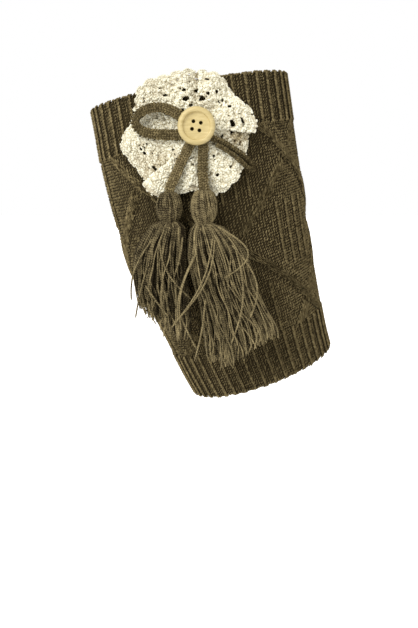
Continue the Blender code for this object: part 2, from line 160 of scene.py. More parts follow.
def bodyRelief(turn, down):
    # height, how much the place is knit rather than purl, and the slant of its stitches
    u = (turn - lattice["turn"]) * lattice["repeats"] / 360.0
    v = (down - lattice["down"]) / lattice["drop"]
    scale = lattice["wide"] / math.sqrt(2.0)
    over = ((u - v + 0.5) % 1.0 - 0.5) * scale
    under = ((u + v + 0.5) % 1.0 - 0.5) * scale
    overBand = ease(over, -1.2, 1.4) * (1.0 - ease(over, 6.5, 11.0))
    underBand = 1.0 - ease(np.abs(under), 2.6, 5.6)
    groove = ease(over, -5.0, -1.8) * (1.0 - ease(over, -1.6, -0.6))
    panel = 0.0 * u
    for shiftU, shiftV in ((0.0, 0.5), (0.5, 0.0)):
        wide = np.abs((u - shiftU + 0.5) % 1.0 - 0.5) * lattice["wide"]
        tall = np.abs((v - shiftV + 0.5) % 1.0 - 0.5) * lattice["drop"]
        inside = 1.0 - ease(wide, lattice["panelWide"] - 1.5, lattice["panelWide"] + 1.5)
        inside = inside * (1.0 - ease(tall, lattice["panelTall"] - 1.5, lattice["panelTall"] + 1.5))
        panel = np.maximum(panel, inside)
    rib = ribWave(turn)
    rise = tube["crest"] - tube["valley"]
    low = lattice["field"] + panel * (0.6 * rise * rib - lattice["field"]) - 0.6 * groove
    raised = np.maximum(low, lattice["underHeight"] * underBand)
    height = np.maximum(low + (raised - low) * (1.0 - groove), lattice["overHeight"] * overBand)
    # the stitches that travel sideways fill only the middle of each band
    overKnit = ease(over, -0.9, 0.9) * (1.0 - ease(over, 3.6, 6.0))
    underKnit = (1.0 - ease(np.abs(under), 1.9, 3.4)) * (1.0 - groove) * (1.0 - overBand)
    knit = np.maximum(np.maximum(overKnit, underKnit), 0.7 * panel * rib)
    slant = lattice["bandSlant"] * (overKnit - underKnit)
    return tube["valley"] + height, knit, slant


# Materials

def newGroup(name, inputs, outputs):
    group = bpy.data.node_groups.new(name, "ShaderNodeTree")
    for label, kind, value in inputs:
        socket = group.interface.new_socket(name=label, in_out="INPUT", socket_type=kind)
        if value is not None:
            socket.default_value = value
    for label, kind in outputs:
        group.interface.new_socket(name=label, in_out="OUTPUT", socket_type=kind)
    return group, group.nodes.new("NodeGroupInput"), group.nodes.new("NodeGroupOutput")


def mathNode(tree, operation, first, second):
    node = tree.nodes.new("ShaderNodeMath")
    node.operation = operation
    for socket, value in zip(node.inputs, (first, second)):
        if hasattr(value, "links"):
            tree.links.new(value, socket)
        else:
            socket.default_value = value
    return node.outputs[0]


def splitUv(group):
    coords = group.nodes.new("ShaderNodeUVMap")
    coords.uv_map = "yarn"
    split = group.nodes.new("ShaderNodeSeparateXYZ")
    group.links.new(coords.outputs["UV"], split.inputs[0])
    return split.outputs["X"], split.outputs["Y"]


def makeHeather():
    # slow and fine variation of a dyed yarn, from the place on the object
    group, into, out = newGroup(
        "heather", [("Coarse", "NodeSocketFloat", 60.0), ("Fine", "NodeSocketFloat", 900.0)],
        [("Mask", "NodeSocketFloat")])
    coords = group.nodes.new("ShaderNodeTexCoord")
    parts = []
    for label in ("Coarse", "Fine"):
        noise = group.nodes.new("ShaderNodeTexNoise")
        noise.inputs["Detail"].default_value = 2.0
        group.links.new(coords.outputs["Object"], noise.inputs["Vector"])
        group.links.new(into.outputs[label], noise.inputs["Scale"])
        parts.append(noise.outputs["Fac"])
    both = mathNode(group, "ADD", parts[0], parts[1])
    group.links.new(mathNode(group, "MULTIPLY", both, 0.5), out.inputs["Mask"])
    return group


def makeTwist():
    # the plies of a twisted yarn; the UV map has the length in millimetres along v
    group, into, out = newGroup(
        "yarnTwist", [("Across", "NodeSocketFloat", 2.0), ("Along", "NodeSocketFloat", 0.4)],
        [("Height", "NodeSocketFloat")])
    u, v = splitUv(group)
    round_ = mathNode(group, "MULTIPLY", u, into.outputs["Across"])
    along = mathNode(group, "MULTIPLY", v, into.outputs["Along"])
    phase = mathNode(group, "MULTIPLY", mathNode(group, "ADD", round_, along), 2.0 * math.pi)
    wave = mathNode(group, "MULTIPLY", mathNode(group, "SINE", phase, 0.0), 0.5)
    group.links.new(mathNode(group, "ADD", wave, 0.5), out.inputs["Height"])
    return group


def makeLoops():
    # columns of small V stitches; the UV map counts columns along u and rows along v
    group, into, out = newGroup(
        "knitLoops", [("Across", "NodeSocketFloat", 1.0), ("Along", "NodeSocketFloat", 1.0)],
        [("Height", "NodeSocketFloat")])
    u, v = splitUv(group)
    column = mathNode(group, "FRACT", mathNode(group, "MULTIPLY", u, into.outputs["Across"]), 0.0)
    off = mathNode(group, "ABSOLUTE", mathNode(group, "SUBTRACT", column, 0.5), 0.0)
    rows = mathNode(group, "MULTIPLY", v, into.outputs["Along"])
    slope = mathNode(group, "ADD", rows, mathNode(group, "MULTIPLY", off, 1.4))
    place = mathNode(group, "SUBTRACT", mathNode(group, "FRACT", slope, 0.0), 0.5)
    gap = mathNode(group, "MULTIPLY", mathNode(group, "ABSOLUTE", place, 0.0), 2.0)
    leg = mathNode(group, "SUBTRACT", 1.0, gap)
    edge = mathNode(group, "ABSOLUTE", mathNode(group, "SUBTRACT", off, 0.25), 0.0)
    side = mathNode(group, "SUBTRACT", 1.0, mathNode(group, "MULTIPLY", edge, 4.0))
    group.links.new(mathNode(group, "MULTIPLY", leg, side), out.inputs["Height"])
    return group


def newNode(tree, kind, values):
    node = tree.nodes.new(kind)
    for label, value in values.items():
        node.inputs[label].default_value = value
    return node


def newMaterial(name, values):
    material = bpy.data.materials.new(name)
    material.use_nodes = True
    shader = material.node_tree.nodes["Principled BSDF"]
    for label, value in values.items():
        shader.inputs[label].default_value = value
    return material, material.node_tree, shader


def colourBy(tree, shader, value, look, places):
    # the look's dark and light colour, at two places of the value
    ramp = tree.nodes.new("ShaderNodeValToRGB")
    for element, place, end in zip(ramp.color_ramp.elements, places, ("dark", "light")):
        element.position = place
        element.color = (*look[end], 1.0)
    tree.links.new(value, ramp.inputs["Fac"])
    tree.links.new(ramp.outputs["Color"], shader.inputs["Base Color"])


def bumpBy(tree, shader, height, strength, distance):
    bump = newNode(tree, "ShaderNodeBump", {"Strength": strength, "Distance": distance})
    tree.links.new(height, bump.inputs["Height"])
    tree.links.new(bump.outputs["Normal"], shader.inputs["Normal"])


def threadMaterial(name, look):
    # one kind of yarn, with the pattern of its plies or stitches
    material, tree, shader = newMaterial(name, {
        "Roughness": look["rough"], "Sheen Weight": look["sheen"], "Sheen Roughness": 0.4,
        "Sheen Tint": (*look["light"], 1.0), "Specular IOR Level": 0.15,
    })
    heather = tree.nodes.new("ShaderNodeGroup")
    heather.node_tree = heatherGroup
    heather.inputs["Coarse"].default_value = look["coarse"]
    heather.inputs["Fine"].default_value = look["fine"]
    pattern = tree.nodes.new("ShaderNodeGroup")
    pattern.node_tree = loopGroup if look["loops"] else twistGroup
    pattern.inputs["Across"].default_value = look["across"]
    pattern.inputs["Along"].default_value = look["along"]
    tone = tree.nodes.new("ShaderNodeAttribute")
    tone.attribute_name = "tone"
    patchy = mathNode(tree, "SUBTRACT", heather.outputs["Mask"], 0.5)
    mixed = mathNode(tree, "ADD", tone.outputs["Fac"],
                     mathNode(tree, "MULTIPLY", patchy, look["patchy"]))
    # painted shade: darker in the hollows of the ply or stitch pattern, by the look's groove
    raised = mathNode(tree, "SUBTRACT", pattern.outputs["Height"], 0.5)
    mixed = mathNode(tree, "ADD", mixed, mathNode(tree, "MULTIPLY", raised, look["groove"]))
    colourBy(tree, shader, mixed, look, (0.0, 1.0))
    total = mathNode(tree, "ADD", pattern.outputs["Height"], heather.outputs["Mask"])
    bumpBy(tree, shader, total, look["bump"], 0.0003)
    return material


def woodMaterial(name, look):
    material, tree, shader = newMaterial(name, {})
    coords = tree.nodes.new("ShaderNodeTexCoord")
    place = newNode(tree, "ShaderNodeMapping", {
        "Rotation": (0.0, math.radians(look["grainTurn"]), 0.0), "Scale": look["grainStretch"],
    })
    tree.links.new(coords.outputs["Object"], place.inputs["Vector"])
    grain = newNode(tree, "ShaderNodeTexNoise", {
        "Scale": look["grainScale"], "Detail": 5.0, "Distortion": 0.6,
    })
    tree.links.new(place.outputs["Vector"], grain.inputs["Vector"])
    colourBy(tree, shader, grain.outputs["Fac"], look, (0.3, 0.68))
    rough = newNode(tree, "ShaderNodeMapRange", {"To Min": 0.5, "To Max": 0.38})
    tree.links.new(grain.outputs["Fac"], rough.inputs["Value"])
    tree.links.new(rough.outputs["Result"], shader.inputs["Roughness"])
    bumpBy(tree, shader, grain.outputs["Fac"], 0.15, 0.0002)
    return material


heatherGroup = makeHeather()
twistGroup = makeTwist()
loopGroup = makeLoops()

# dark and light ends of each yarn; patchy and groove say how far they spread the colour, groove as
# painted shade in the hollows between plies and between stitches
yarnLooks = {
    "oliveKnit": {
        "dark": (0.050, 0.036, 0.013), "light": (0.330, 0.262, 0.130), "rough": 0.95,
        "sheen": 0.1, "loops": False, "across": 2.0, "along": 0.8, "bump": 0.4,
        "patchy": 0.6, "groove": 0.15, "coarse": 45.0, "fine": 1100.0,
    },
    # the same yarn as the stitches, made far darker: painted shade of the gaps between the stitches
    "shadedOliveGround": {
        "dark": (0.014, 0.010, 0.004), "light": (0.076, 0.057, 0.025), "rough": 1.0,
        "sheen": 0.0, "loops": True, "across": 1.0, "along": 1.0, "bump": 0.8,
        "patchy": 0.5, "groove": 0.35, "coarse": 45.0, "fine": 1100.0,
    },
    "cordKnit": {
        "dark": (0.040, 0.029, 0.010), "light": (0.400, 0.318, 0.158), "rough": 0.92,
        "sheen": 0.1, "loops": False, "across": 2.0, "along": 0.8, "bump": 0.4,
        "patchy": 0.4, "groove": 0.15, "coarse": 90.0, "fine": 1500.0,
    },
    "tasselYarn": {
        "dark": (0.016, 0.011, 0.004), "light": (0.460, 0.370, 0.190), "rough": 0.9,
        "sheen": 0.1, "loops": False, "across": 1.0, "along": 0.78, "bump": 0.8,
        "patchy": 1.5, "groove": 0.34, "coarse": 300.0, "fine": 1000.0,
    },
    "creamLace": {
        "dark": (0.420, 0.350, 0.210), "light": (0.980, 0.960, 0.800), "rough": 0.88,
        "sheen": 0.0, "loops": False, "across": 2.0, "along": 0.8, "bump": 0.4,
        "patchy": 0.6, "groove": 0.10, "coarse": 80.0, "fine": 1200.0,
    },
    # darker than the threads: painted shade of the gaps between them
    "shadedLaceGround": {
        "dark": (0.260, 0.200, 0.110), "light": (0.880, 0.820, 0.620), "rough": 0.95,
        "sheen": 0.0, "loops": False, "across": 2.0, "along": 0.8, "bump": 0.4,
        "patchy": 0.9, "groove": 0.10, "coarse": 300.0, "fine": 1500.0,
    },
}
yarns = {name: threadMaterial(name, look) for name, look in yarnLooks.items()}
paleWood = woodMaterial("paleWood", {
    "dark": (0.510, 0.400, 0.170), "light": (0.630, 0.515, 0.250), "grainTurn": 24.0,
    "grainStretch": (1.0, 1.0, 5.0), "grainScale": 160.0,
})
print("materials ready")


# Pieces made of many small shapes

def meshOf(bm, name):
    mesh = bpy.data.meshes.new(name)
    bm.to_mesh(mesh)
    bm.free()
    return mesh


def addPiece(mesh, material, replaced=()):
    obj = bpy.data.objects.new(mesh.name, mesh)
    bpy.context.scene.collection.objects.link(obj)
    mesh.materials.append(material)
    mesh.shade_smooth()
    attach(obj, "root")
    if replaced:
        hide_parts(*replaced)
    return obj


def grainShape(sides, rings):
    # a small closed bead, long along its z, as arrays
    bm = bmesh.new()
    bmesh.ops.create_uvsphere(bm, u_segments=sides, v_segments=rings, radius=1.0)
    verts = np.array([v.co[:] for v in bm.verts])
    faces = [[v.index for v in f.verts] for f in bm.faces]
    bm.free()
    corners = np.array([i for f in faces for i in f])
    around = np.arctan2(verts[:, 1], verts[:, 0]) / (2.0 * math.pi) + 0.5
    return {
        "verts": verts,
        "corners": corners,
        "sizes": np.array([len(f) for f in faces]),
        "uv": np.stack([around[corners], verts[corners, 2]], axis=-1),
    }


def arrayMesh(name, verts, corners, sizes, uv, tone):
    mesh = bpy.data.meshes.new(name)
    mesh.vertices.add(len(verts))
    mesh.vertices.foreach_set("co", verts.astype(np.float32).ravel())
    mesh.loops.add(len(corners))
    mesh.loops.foreach_set("vertex_index", corners.astype(np.int32))
    mesh.polygons.add(len(sizes))
    starts = np.concatenate([[0], np.cumsum(sizes)[:-1]])
    mesh.polygons.foreach_set("loop_start", starts.astype(np.int32))
    mesh.update(calc_edges=True)
    mesh.uv_layers.new(name="yarn").data.foreach_set("uv", uv.astype(np.float32).ravel())
    layer = mesh.attributes.new("tone", "FLOAT", "POINT")
    layer.data.foreach_set("value", tone.astype(np.float32))
    mesh.validate()
    return mesh


def grainMesh(name, shape, centres, sides, ups, outs, tones):
    # one bead for each row of the arrays: side is its thickness, up its length, out its height
    base = shape["verts"]
    verts = (centres[:, None, :] + base[None, :, 0:1] * sides[:, None, :]
             - base[None, :, 1:2] * outs[:, None, :] + base[None, :, 2:3] * ups[:, None, :])
    count, each = len(centres), len(base)
    corners = (shape["corners"][None, :] + np.arange(count)[:, None] * each).ravel()
    return arrayMesh(name, verts.reshape(-1, 3), corners, np.tile(shape["sizes"], count),
                     np.tile(shape["uv"], (count, 1)), np.repeat(tones, each))


def unit(vectors):
    return vectors / np.maximum(np.linalg.norm(vectors, axis=-1, keepdims=True), 1e-12)


def turned(side, up, degrees):
    # the two directions, turned in their own plane, anticlockwise from outside
    c, s = np.cos(np.radians(degrees))[..., None], np.sin(np.radians(degrees))[..., None]
    return side * c + up * s, up * c - side * s


# Knitting

knitting = {
    "rowHeight": 1.62,
    "columnsOfRib": 4,
    "legLean": 20.0,
    "legApart": 0.29,
    "legLong": 1.18,         # half sizes of one leg of a knit stitch
    "legThick": 0.35,
    "legHigh": 0.70,
    "purlLean": 46.0,
    "purlLong": 1.02,
    "purlThick": 0.36,
    "ridgeHighlight": 0.12,       # painted highlight: the knit columns are lighter, as if they caught more light
    "sink": 0.50,            # how far a stitch's middle lies under the solid's face
    "soften": 0.88,          # the share of the solid's relief that the worn knit keeps
    "fill": 0.34,            # and how far its valleys are filled by yarn
    "jitter": 0.13,
    "clothCut": 0.90,        # the ground cloth lies this far under the stitches' face
    "clothWall": 1.2,
    "shade": 0.47,           # mean tone of the stitches, and how much they differ
    "shadeSpread": 0.14,
}
bead = grainShape(4, 3)


def knitHeight(relief, turn, down):
    height = relief(turn, down)[0] - tube["valley"]
    return tube["valley"] + knitting["fill"] + knitting["soften"] * height


def clothShell(name, start, end, rows, relief, node):
    # the ground that the stitches stand on: a fine tube with the same relief
    bm = bmesh.new()
    columns = tube["ribs"] * 4
    bmesh.ops.create_grid(bm, x_segments=columns, y_segments=rows, size=0.5)
    uv = bm.loops.layers.uv.new("yarn")
    tall = (end - start) / knitting["rowHeight"]
    for face in bm.faces:
        for loop in face.loops:
            loop[uv].uv = (loop.vert.co.x * columns, loop.vert.co.y * tall)
    places = np.array([v.co[:] for v in bm.verts])
    turn, down = places[:, 0] * 360.0, start + (0.5 - places[:, 1]) * (end - start)
    height = knitHeight(relief, turn, down) - knitting["clothCut"]
    for vert, spot in zip(bm.verts, tubePoint(turn, down, height)):
        vert.co = spot
    bmesh.ops.remove_doubles(bm, verts=bm.verts, dist=0.00001)
    mesh = meshOf(bm, name)
    tone = mesh.attributes.new("tone", "FLOAT", "POINT")
    tone.data.foreach_set("value", np.full(len(mesh.vertices), 0.5, np.float32))
    # its dark colour is painted shade of the gaps between the stitches
    cloth = addPiece(mesh, yarns["shadedOliveGround"], (node,))
    wall = cloth.modifiers.new("wall", "SOLIDIFY")
    wall.thickness = knitting["clothWall"] * mm
    wall.offset = -1.0
    return cloth


def stitchFrames(turn, down, relief, sink):
    # place, side, up and out of each stitch, tilted with the relief
    dt, dd = 0.7, 0.8
    height = knitHeight(relief, turn, down)
    sideways = knitHeight(relief, turn + dt, down) - knitHeight(relief, turn - dt, down)
    lengthways = knitHeight(relief, turn, down + dd) - knitHeight(relief, turn, down - dd)
    sideways, lengthways = 0.6 * sideways, 0.6 * lengthways
    side = unit(tubePoint(turn + dt, down, sideways / 2) - tubePoint(turn - dt, down, -sideways / 2))
    up = unit(tubePoint(turn, down - dd, -lengthways / 2) - tubePoint(turn, down + dd, lengthways / 2))
    out = unit(np.cross(side, up))
    return tubePoint(turn, down, height - sink), side, unit(np.cross(out, side)), out


def stitches(name, start, end, relief, turns, seed):
    rng = np.random.default_rng(seed)
    rowCount = round((end - start) / knitting["rowHeight"])
    rowHeight = (end - start) / rowCount
    count = tube["ribs"] * knitting["columnsOfRib"]
    columns = np.arange(-1, count) * 360.0 / count
    columns = columns[(columns >= turns[0]) & (columns < turns[1])]
    turn, down = np.meshgrid(columns, start + (np.arange(rowCount) + 0.5) * rowHeight)
    turn, down = turn.ravel(), down.ravel()
    turn = turn + rng.normal(0.0, knitting["jitter"], turn.shape)
    down = down + rng.normal(0.0, knitting["jitter"], turn.shape)
    height, knit, slant = relief(turn, down)
    isKnit = knit > 0.6
    shade = knitting["shade"] + rng.normal(0.0, knitting["shadeSpread"], turn.shape)
    size = rng.normal(1.0, 0.10, (len(turn), 1))
    parts = []
    for sign in (-1.0, 1.0):
        pick = isKnit
        place, side, up, out = stitchFrames(turn[pick], down[pick], relief, knitting["sink"] - 0.15)
        side, up = turned(side, up, slant[pick])
        # 1 where the column travels sideways
        band = np.abs(slant[pick])[:, None] / lattice["bandSlant"]
        apart = knitting["legApart"] * (1.0 + 0.25 * band) * mm
        lean = np.full(len(place), -sign * knitting["legLean"]) * (1.0 - 0.8 * band[:, 0])
        legSide, legUp = turned(side, up, lean + rng.normal(0.0, 6.0, len(place)))
        thick = knitting["legThick"] * size[pick] * (1.0 - 0.34 * band) * mm
        # painted highlight on the knit columns; along the travelling bands it turns a little darker
        parts.append((place + sign * side * apart, legSide * thick,
                      legUp * knitting["legLong"] * (1.0 + 0.35 * band) * mm,
                      out * knitting["legHigh"] * mm,
                      shade[pick] + knitting["ridgeHighlight"] * (knit[pick] / 0.4 - 1.5)
                      * (1.0 - 1.6 * band[:, 0]) + rng.normal(0.0, 0.05 + 0.13 * band[:, 0])))
    pick = ~isKnit
    place, side, up, out = stitchFrames(turn[pick], down[pick], relief, knitting["sink"])
    side, up = turned(side, up, rng.normal(knitting["purlLean"], 13.0, len(place)))
    long = knitting["purlLong"] * rng.normal(1.0, 0.16, (len(place), 1))
    parts.append((place, up * knitting["purlThick"] * mm * size[pick], -side * long * mm,
                  out * knitting["legHigh"] * mm * size[pick], shade[pick]))
    joined = [np.concatenate(column) for column in zip(*parts)]
    mesh = grainMesh(name, bead, *joined)
    return addPiece(mesh, yarns["oliveKnit"])


def rimChain(name, down, lift, count, seed):
    # the bound edge: one round of small stitches lying along the rim
    rng = np.random.default_rng(seed)
    turn = (np.arange(count) + 0.5) * 360.0 / count
    lifts = knitHeight(cuffRelief, turn, down) + lift
    place = tubePoint(turn, down + rng.normal(0.0, 0.08, count), lifts)
    side = unit(tubePoint(turn + 1.0, down, lifts) - tubePoint(turn - 1.0, down, lifts))
    out = unit(tubePoint(turn, down, lifts + 1.0) - place)
    up = np.cross(out, side)
    side, up = turned(side, up, rng.normal(18.0, 8.0, count))
    mesh = grainMesh(name, bead, place, up * 0.62 * mm, -side * 1.35 * mm, out * 0.8 * mm,
                     0.42 + rng.normal(0.0, 0.10, count))
    return addPiece(mesh, yarns["oliveKnit"])


def knitTube():
    halfSeam = 0.15
    topEnd, bottomStart = tube["topCuffEnd"], tube["bottomCuffStart"]
    topCloth = clothShell("topCuffCloth", 0.5, topEnd - halfSeam, 8, cuffRelief, "top_cuff")
    bodyCloth = clothShell("bodyCloth", topEnd + halfSeam, bottomStart - halfSeam, 60, bodyRelief,
                           "body")
    bottomCloth = clothShell("bottomCuffCloth", bottomStart + halfSeam, tube["length"] - 0.5, 8,
                             cuffRelief, "bottom_cuff")
    around = (-2.0, 358.0)
    topStitches = stitches("topCuffStitches", 0.6, topEnd, cuffRelief, around, 3)
    bodyHalves = [stitches(name, topEnd, bottomStart, bodyRelief, turns, seed)
                  for name, turns, seed in (("bodyStitchesRight", (-2.0, 178.0), 5),
                                            ("bodyStitchesLeft", (178.0, 358.0), 7))]
    bottomStitches = stitches("bottomCuffStitches", bottomStart, tube["length"] - 0.6,
                              cuffRelief, around, 9)
    topRim = rimChain("topRimChain", 0.3, -0.9, 225, 11)
    bottomRim = rimChain("bottomRimChain", tube["length"] - 0.3, -0.9, 200, 13)
    joinLine = rimChain("cuffJoinChain", topEnd - 0.2, -0.3, 180, 15)


knitTube()
print("knitted tube ready")


# Lace rosette

lace = {
    "across": -0.5,
    "down": 26.5,
    "seat": 0.9,
    # direction and height of each flute's crest
    "flutes": [
        (20.0, 3.6), (55.0, 3.4), (90.0, 4.6), (122.0, 3.8), (176.0, 5.0), (221.0, 3.4),
        (256.0, 2.3), (290.0, 4.4), (345.0, 0.8),
    ],
    # direction and reach of each lobe and notch of the edge
    "edge": [
        (25.0, 29.0), (65.0, 32.0), (95.0, 32.0), (135.0, 37.0), (155.0, 34.0), (180.0, 40.0),
        (215.0, 36.0), (230.0, 38.0), (255.0, 31.0), (280.0, 36.0), (310.0, 34.0),
        (340.0, 31.0), (358.0, 34.0),
    ],
    # pleats where the cloth doubles back: direction, half width and lift, and +1 where
    # the cloth on the anticlockwise side lies on top, -1 where the other side does
    "pleats": [
        (353.0, 14.0, 4.6, 1.0),
        (316.0, 13.0, 3.4, -1.0),
        (220.0, 15.0, 4.0, 1.0),
        (71.0, 8.0, 1.5, -1.0),
        (264.0, 8.0, 1.6, -1.0),
        (150.0, 8.0, 1.6, 1.0),
    ],
    "meanReach": 35.0,
    "pleatDepth": 2.6,
    "pleatPaintedShade": 0.30,      # painted shade in the folds, on the layer under each pleat's edge
    "ripple": 0.8,
    "shells": 30,            # popcorn shells round the rosette, one over each scallop
    "shellTall": 4.6,
    "shellLift": 0.62,
    "scallopDepth": 0.048,
    "thick": 0.45,           # of the close ground
    "groundPaintedShade": 0.20,     # and how much darker it is than the threads, as painted shade of the gaps between them
    # arcs of openings that show: part of the reach, first and last direction, how many,
    # half width and half height
    "openings": [
        (0.42, 60.0, 105.0, 3, 0.9, 0.7),
        (0.54, 64.0, 94.0, 2, 1.5, 1.0),
        (0.68, 40.0, 112.0, 5, 0.9, 0.7),
        (0.78, 6.0, 52.0, 4, 0.8, 0.7),
        (0.64, 330.0, 362.0, 3, 0.9, 1.0),
        (0.50, 300.0, 342.0, 3, 0.8, 0.7),
        (0.72, 170.0, 205.0, 4, 0.9, 0.7),
        (0.78, 268.0, 286.0, 2, 0.8, 0.7),
    ],
    "openScale": 1.25,
    "pinholes": 90,          # and small ones all over
    # painted shade on the cotton, in its valleys, the recess between the ties and under the folds:
    # direction, part, half width
    "shades": [(118.0, 0.86, 0.16), (46.0, 0.50, 0.13), (203.0, 0.60, 0.12), (338.0, 0.75, 0.16),
               (267.0, 0.90, 0.15), (82.0, 0.62, 0.10), (195.0, 0.86, 0.12),
               (266.0, 0.95, 0.14), (340.0, 0.82, 0.12)],
    "columns": 420,
    "rows": 52,
    # threads: half length, half thickness, spacing of the rows and along them
    "threadLong": 0.98,
    "threadThick": 0.64,
    "rowStep": 1.18,
    "threadStep": 1.46,
}


def roundTable(rows, turn):
    # a table of directions read smoothly all the way round
    rows = np.array([*rows, (rows[0][0] + 360.0, *rows[0][1:])])
    turn = (turn - rows[0, 0]) % 360.0 + rows[0, 0]
    i = np.clip(np.searchsorted(rows[:, 0], turn, side="right") - 1, 0, len(rows) - 2)
    t = (turn - rows[i, 0]) / (rows[i + 1, 0] - rows[i, 0])
    return rows[i, 1] + (rows[i + 1, 1] - rows[i, 1]) * ease(t, 0.0, 1.0), t


def fluteAt(turn):
    reach = roundTable(lace["edge"], turn)[0]
    tall, t = roundTable(lace["flutes"], turn)
    return reach, tall * (0.5 + 0.5 * np.cos(2.0 * math.pi * t))


def pleatAt(turn, part):
    # how far a pleat moves a point round the rosette, and how far it lifts it
    moved, raised = 0.0 * turn, 0.0 * turn
    for at, half, lift, side in lace["pleats"]:
        x = side * ((turn - at + 180.0) % 360.0 - 180.0) / half
        depth = lace["pleatDepth"] * ease(part, 0.25, 0.85)
        moved = moved - side * half * depth * x * np.clip(1.0 - x * x, 0.0, 1.0) ** 2
        raised = raised + lift * part ** 1.2 * ease(x, -0.45, 0.45) * (1.0 - ease(x, 0.6, 2.6))
    return moved, raised


def lacePoint(turn, part, lift):
    # part is 0 in the middle and 1 at the edge
    turn, part, lift = np.broadcast_arrays(np.asarray(turn, float), part, lift)
    moved, raised = pleatAt(turn, part)
    reach, height = fluteAt(turn + moved)
    angle = np.radians(turn + moved)
    across = lace["across"] + part * reach * np.cos(angle)
    down = lace["down"] - part * reach * np.sin(angle)
    wave = np.sin(np.radians(turn * 13.0) + 1.3 * np.sin(np.radians(turn * 4.0)))
    ripple = lace["ripple"] * part ** 2 * wave * (0.6 + 0.4 * np.cos(9.0 * part))
    shell = lace["shellLift"] * shellAt(turn, part)
    lift = lift + height * part ** 1.3 + raised + ripple + shell
    return surfacePoint(across, down, lace["seat"] + lift)


def shellAt(turn, part):
    # the popcorn shells, in rows that are half a shell apart
    round_ = np.cos(np.radians(turn * lace["shells"]))
    tall = np.cos(2.0 * math.pi * part * lace["meanReach"] / lace["shellTall"])
    return round_ * tall * ease(part, 0.2, 0.45)


def laceToneAndShade(turn, part):
    # painted light and shade: lighter on the shells' crests, darker between them
    tone = 0.80 + 0.18 * shellAt(turn, part)
    for at, half, lift, side in lace["pleats"]:
        x = side * ((turn - at + 180.0) % 360.0 - 180.0) / half
        # painted shade on the layer under each pleat's top layer
        tone = tone - lace["pleatPaintedShade"] * np.exp(-((x + 0.7) / 0.5) ** 2) * ease(part, 0.3, 0.7)
    # painted shade at each place of the shades table
    for at, where, wide in lace["shades"]:
        apart = np.radians((turn - at + 180.0) % 360.0 - 180.0) * part
        tone = tone - 0.30 * np.exp(-(np.hypot(apart, part - where) / wide) ** 2)
    return tone


def laceFrames(turn, part, lift):
    place = lacePoint(turn, part, lift)
    side = unit(lacePoint(turn + 0.5, part, lift) - lacePoint(turn - 0.5, part, lift))
    outward = unit(lacePoint(turn, part + 0.02, lift) - lacePoint(turn, part - 0.02, lift))
    out = unit(np.cross(outward, side))
    return place, side, np.cross(side, out), out


def laceOpenings():
    # direction, part, half width and half height of each opening, and of these with pinholes
    rng = np.random.default_rng(19)
    shown = []
    for part, first, last, count, wide, tall in lace["openings"]:
        for turn in np.linspace(first, last, count) + rng.normal(0.0, 2.5, count):
            shown.append((turn % 360.0, part + rng.normal(0.0, 0.02), wide, tall))
    small = []
    for _ in range(lace["pinholes"]):
        part = math.sqrt(rng.uniform(0.12, 0.85))
        small.append((rng.uniform(0.0, 360.0), part, rng.uniform(0.32, 0.5),
                      rng.uniform(0.3, 0.42)))
    scale = (1.0, 1.0, lace["openScale"], lace["openScale"])
    return np.array(shown) * scale, np.array(shown + small) * scale


def openness(turn, part, openings, margin=0.0):
    # below 1 inside an opening, by its ellipse
    reach = fluteAt(turn)[0][:, None]
    round_ = (turn[:, None] - openings[None, :, 0] + 180.0) % 360.0 - 180.0
    wide = np.radians(round_) * reach * part[:, None] / (openings[None, :, 2] + margin)
    tall = (part[:, None] - openings[None, :, 1]) * reach / (openings[None, :, 3] + margin)
    return np.min(np.hypot(wide, tall), axis=1)


def scallopAt(turn, part):
    lobe = np.abs(np.cos(np.radians(turn * lace["shells"] / 2.0))) ** 0.8
    return part * (1.0 - lace["scallopDepth"] * ease(part, 0.8, 1.0) * (1.0 - lobe))


def laceWeb(openings):
    bm = bmesh.new()
    bmesh.ops.create_grid(bm, x_segments=lace["columns"], y_segments=lace["rows"], size=0.5)

    def spread(places):
        return (places[:, 0] + 0.5) * 360.0, 0.06 + 0.93 * (places[:, 1] + 0.5)

    bm.faces.ensure_lookup_table()
    middles = np.array([face.calc_center_median()[:] for face in bm.faces])
    open_ = openness(*spread(middles), openings) < 1.0
    bmesh.ops.delete(bm, geom=[bm.faces[i] for i in np.flatnonzero(open_)], context="FACES")
    turn, part = spread(np.array([v.co[:] for v in bm.verts]))
    layer = bm.verts.layers.float.new("tone")
    # painted shade: the ground is darker than the threads
    tones = laceToneAndShade(turn, part) - lace["groundPaintedShade"]
    for vert, spot, shade in zip(bm.verts, lacePoint(turn, scallopAt(turn, part), 0.90), tones):
        vert.co = spot
        vert[layer] = shade
    bmesh.ops.remove_doubles(bm, verts=bm.verts, dist=0.00001)
    mesh = meshOf(bm, "laceWeb")
    mesh.uv_layers.new(name="yarn")
    web = addPiece(mesh, yarns["shadedLaceGround"], ("lace_rosette",))
    wall = web.modifiers.new("wall", "SOLIDIFY")
    wall.thickness = lace["thick"] * mm
    wall.offset = 0.0
    return web


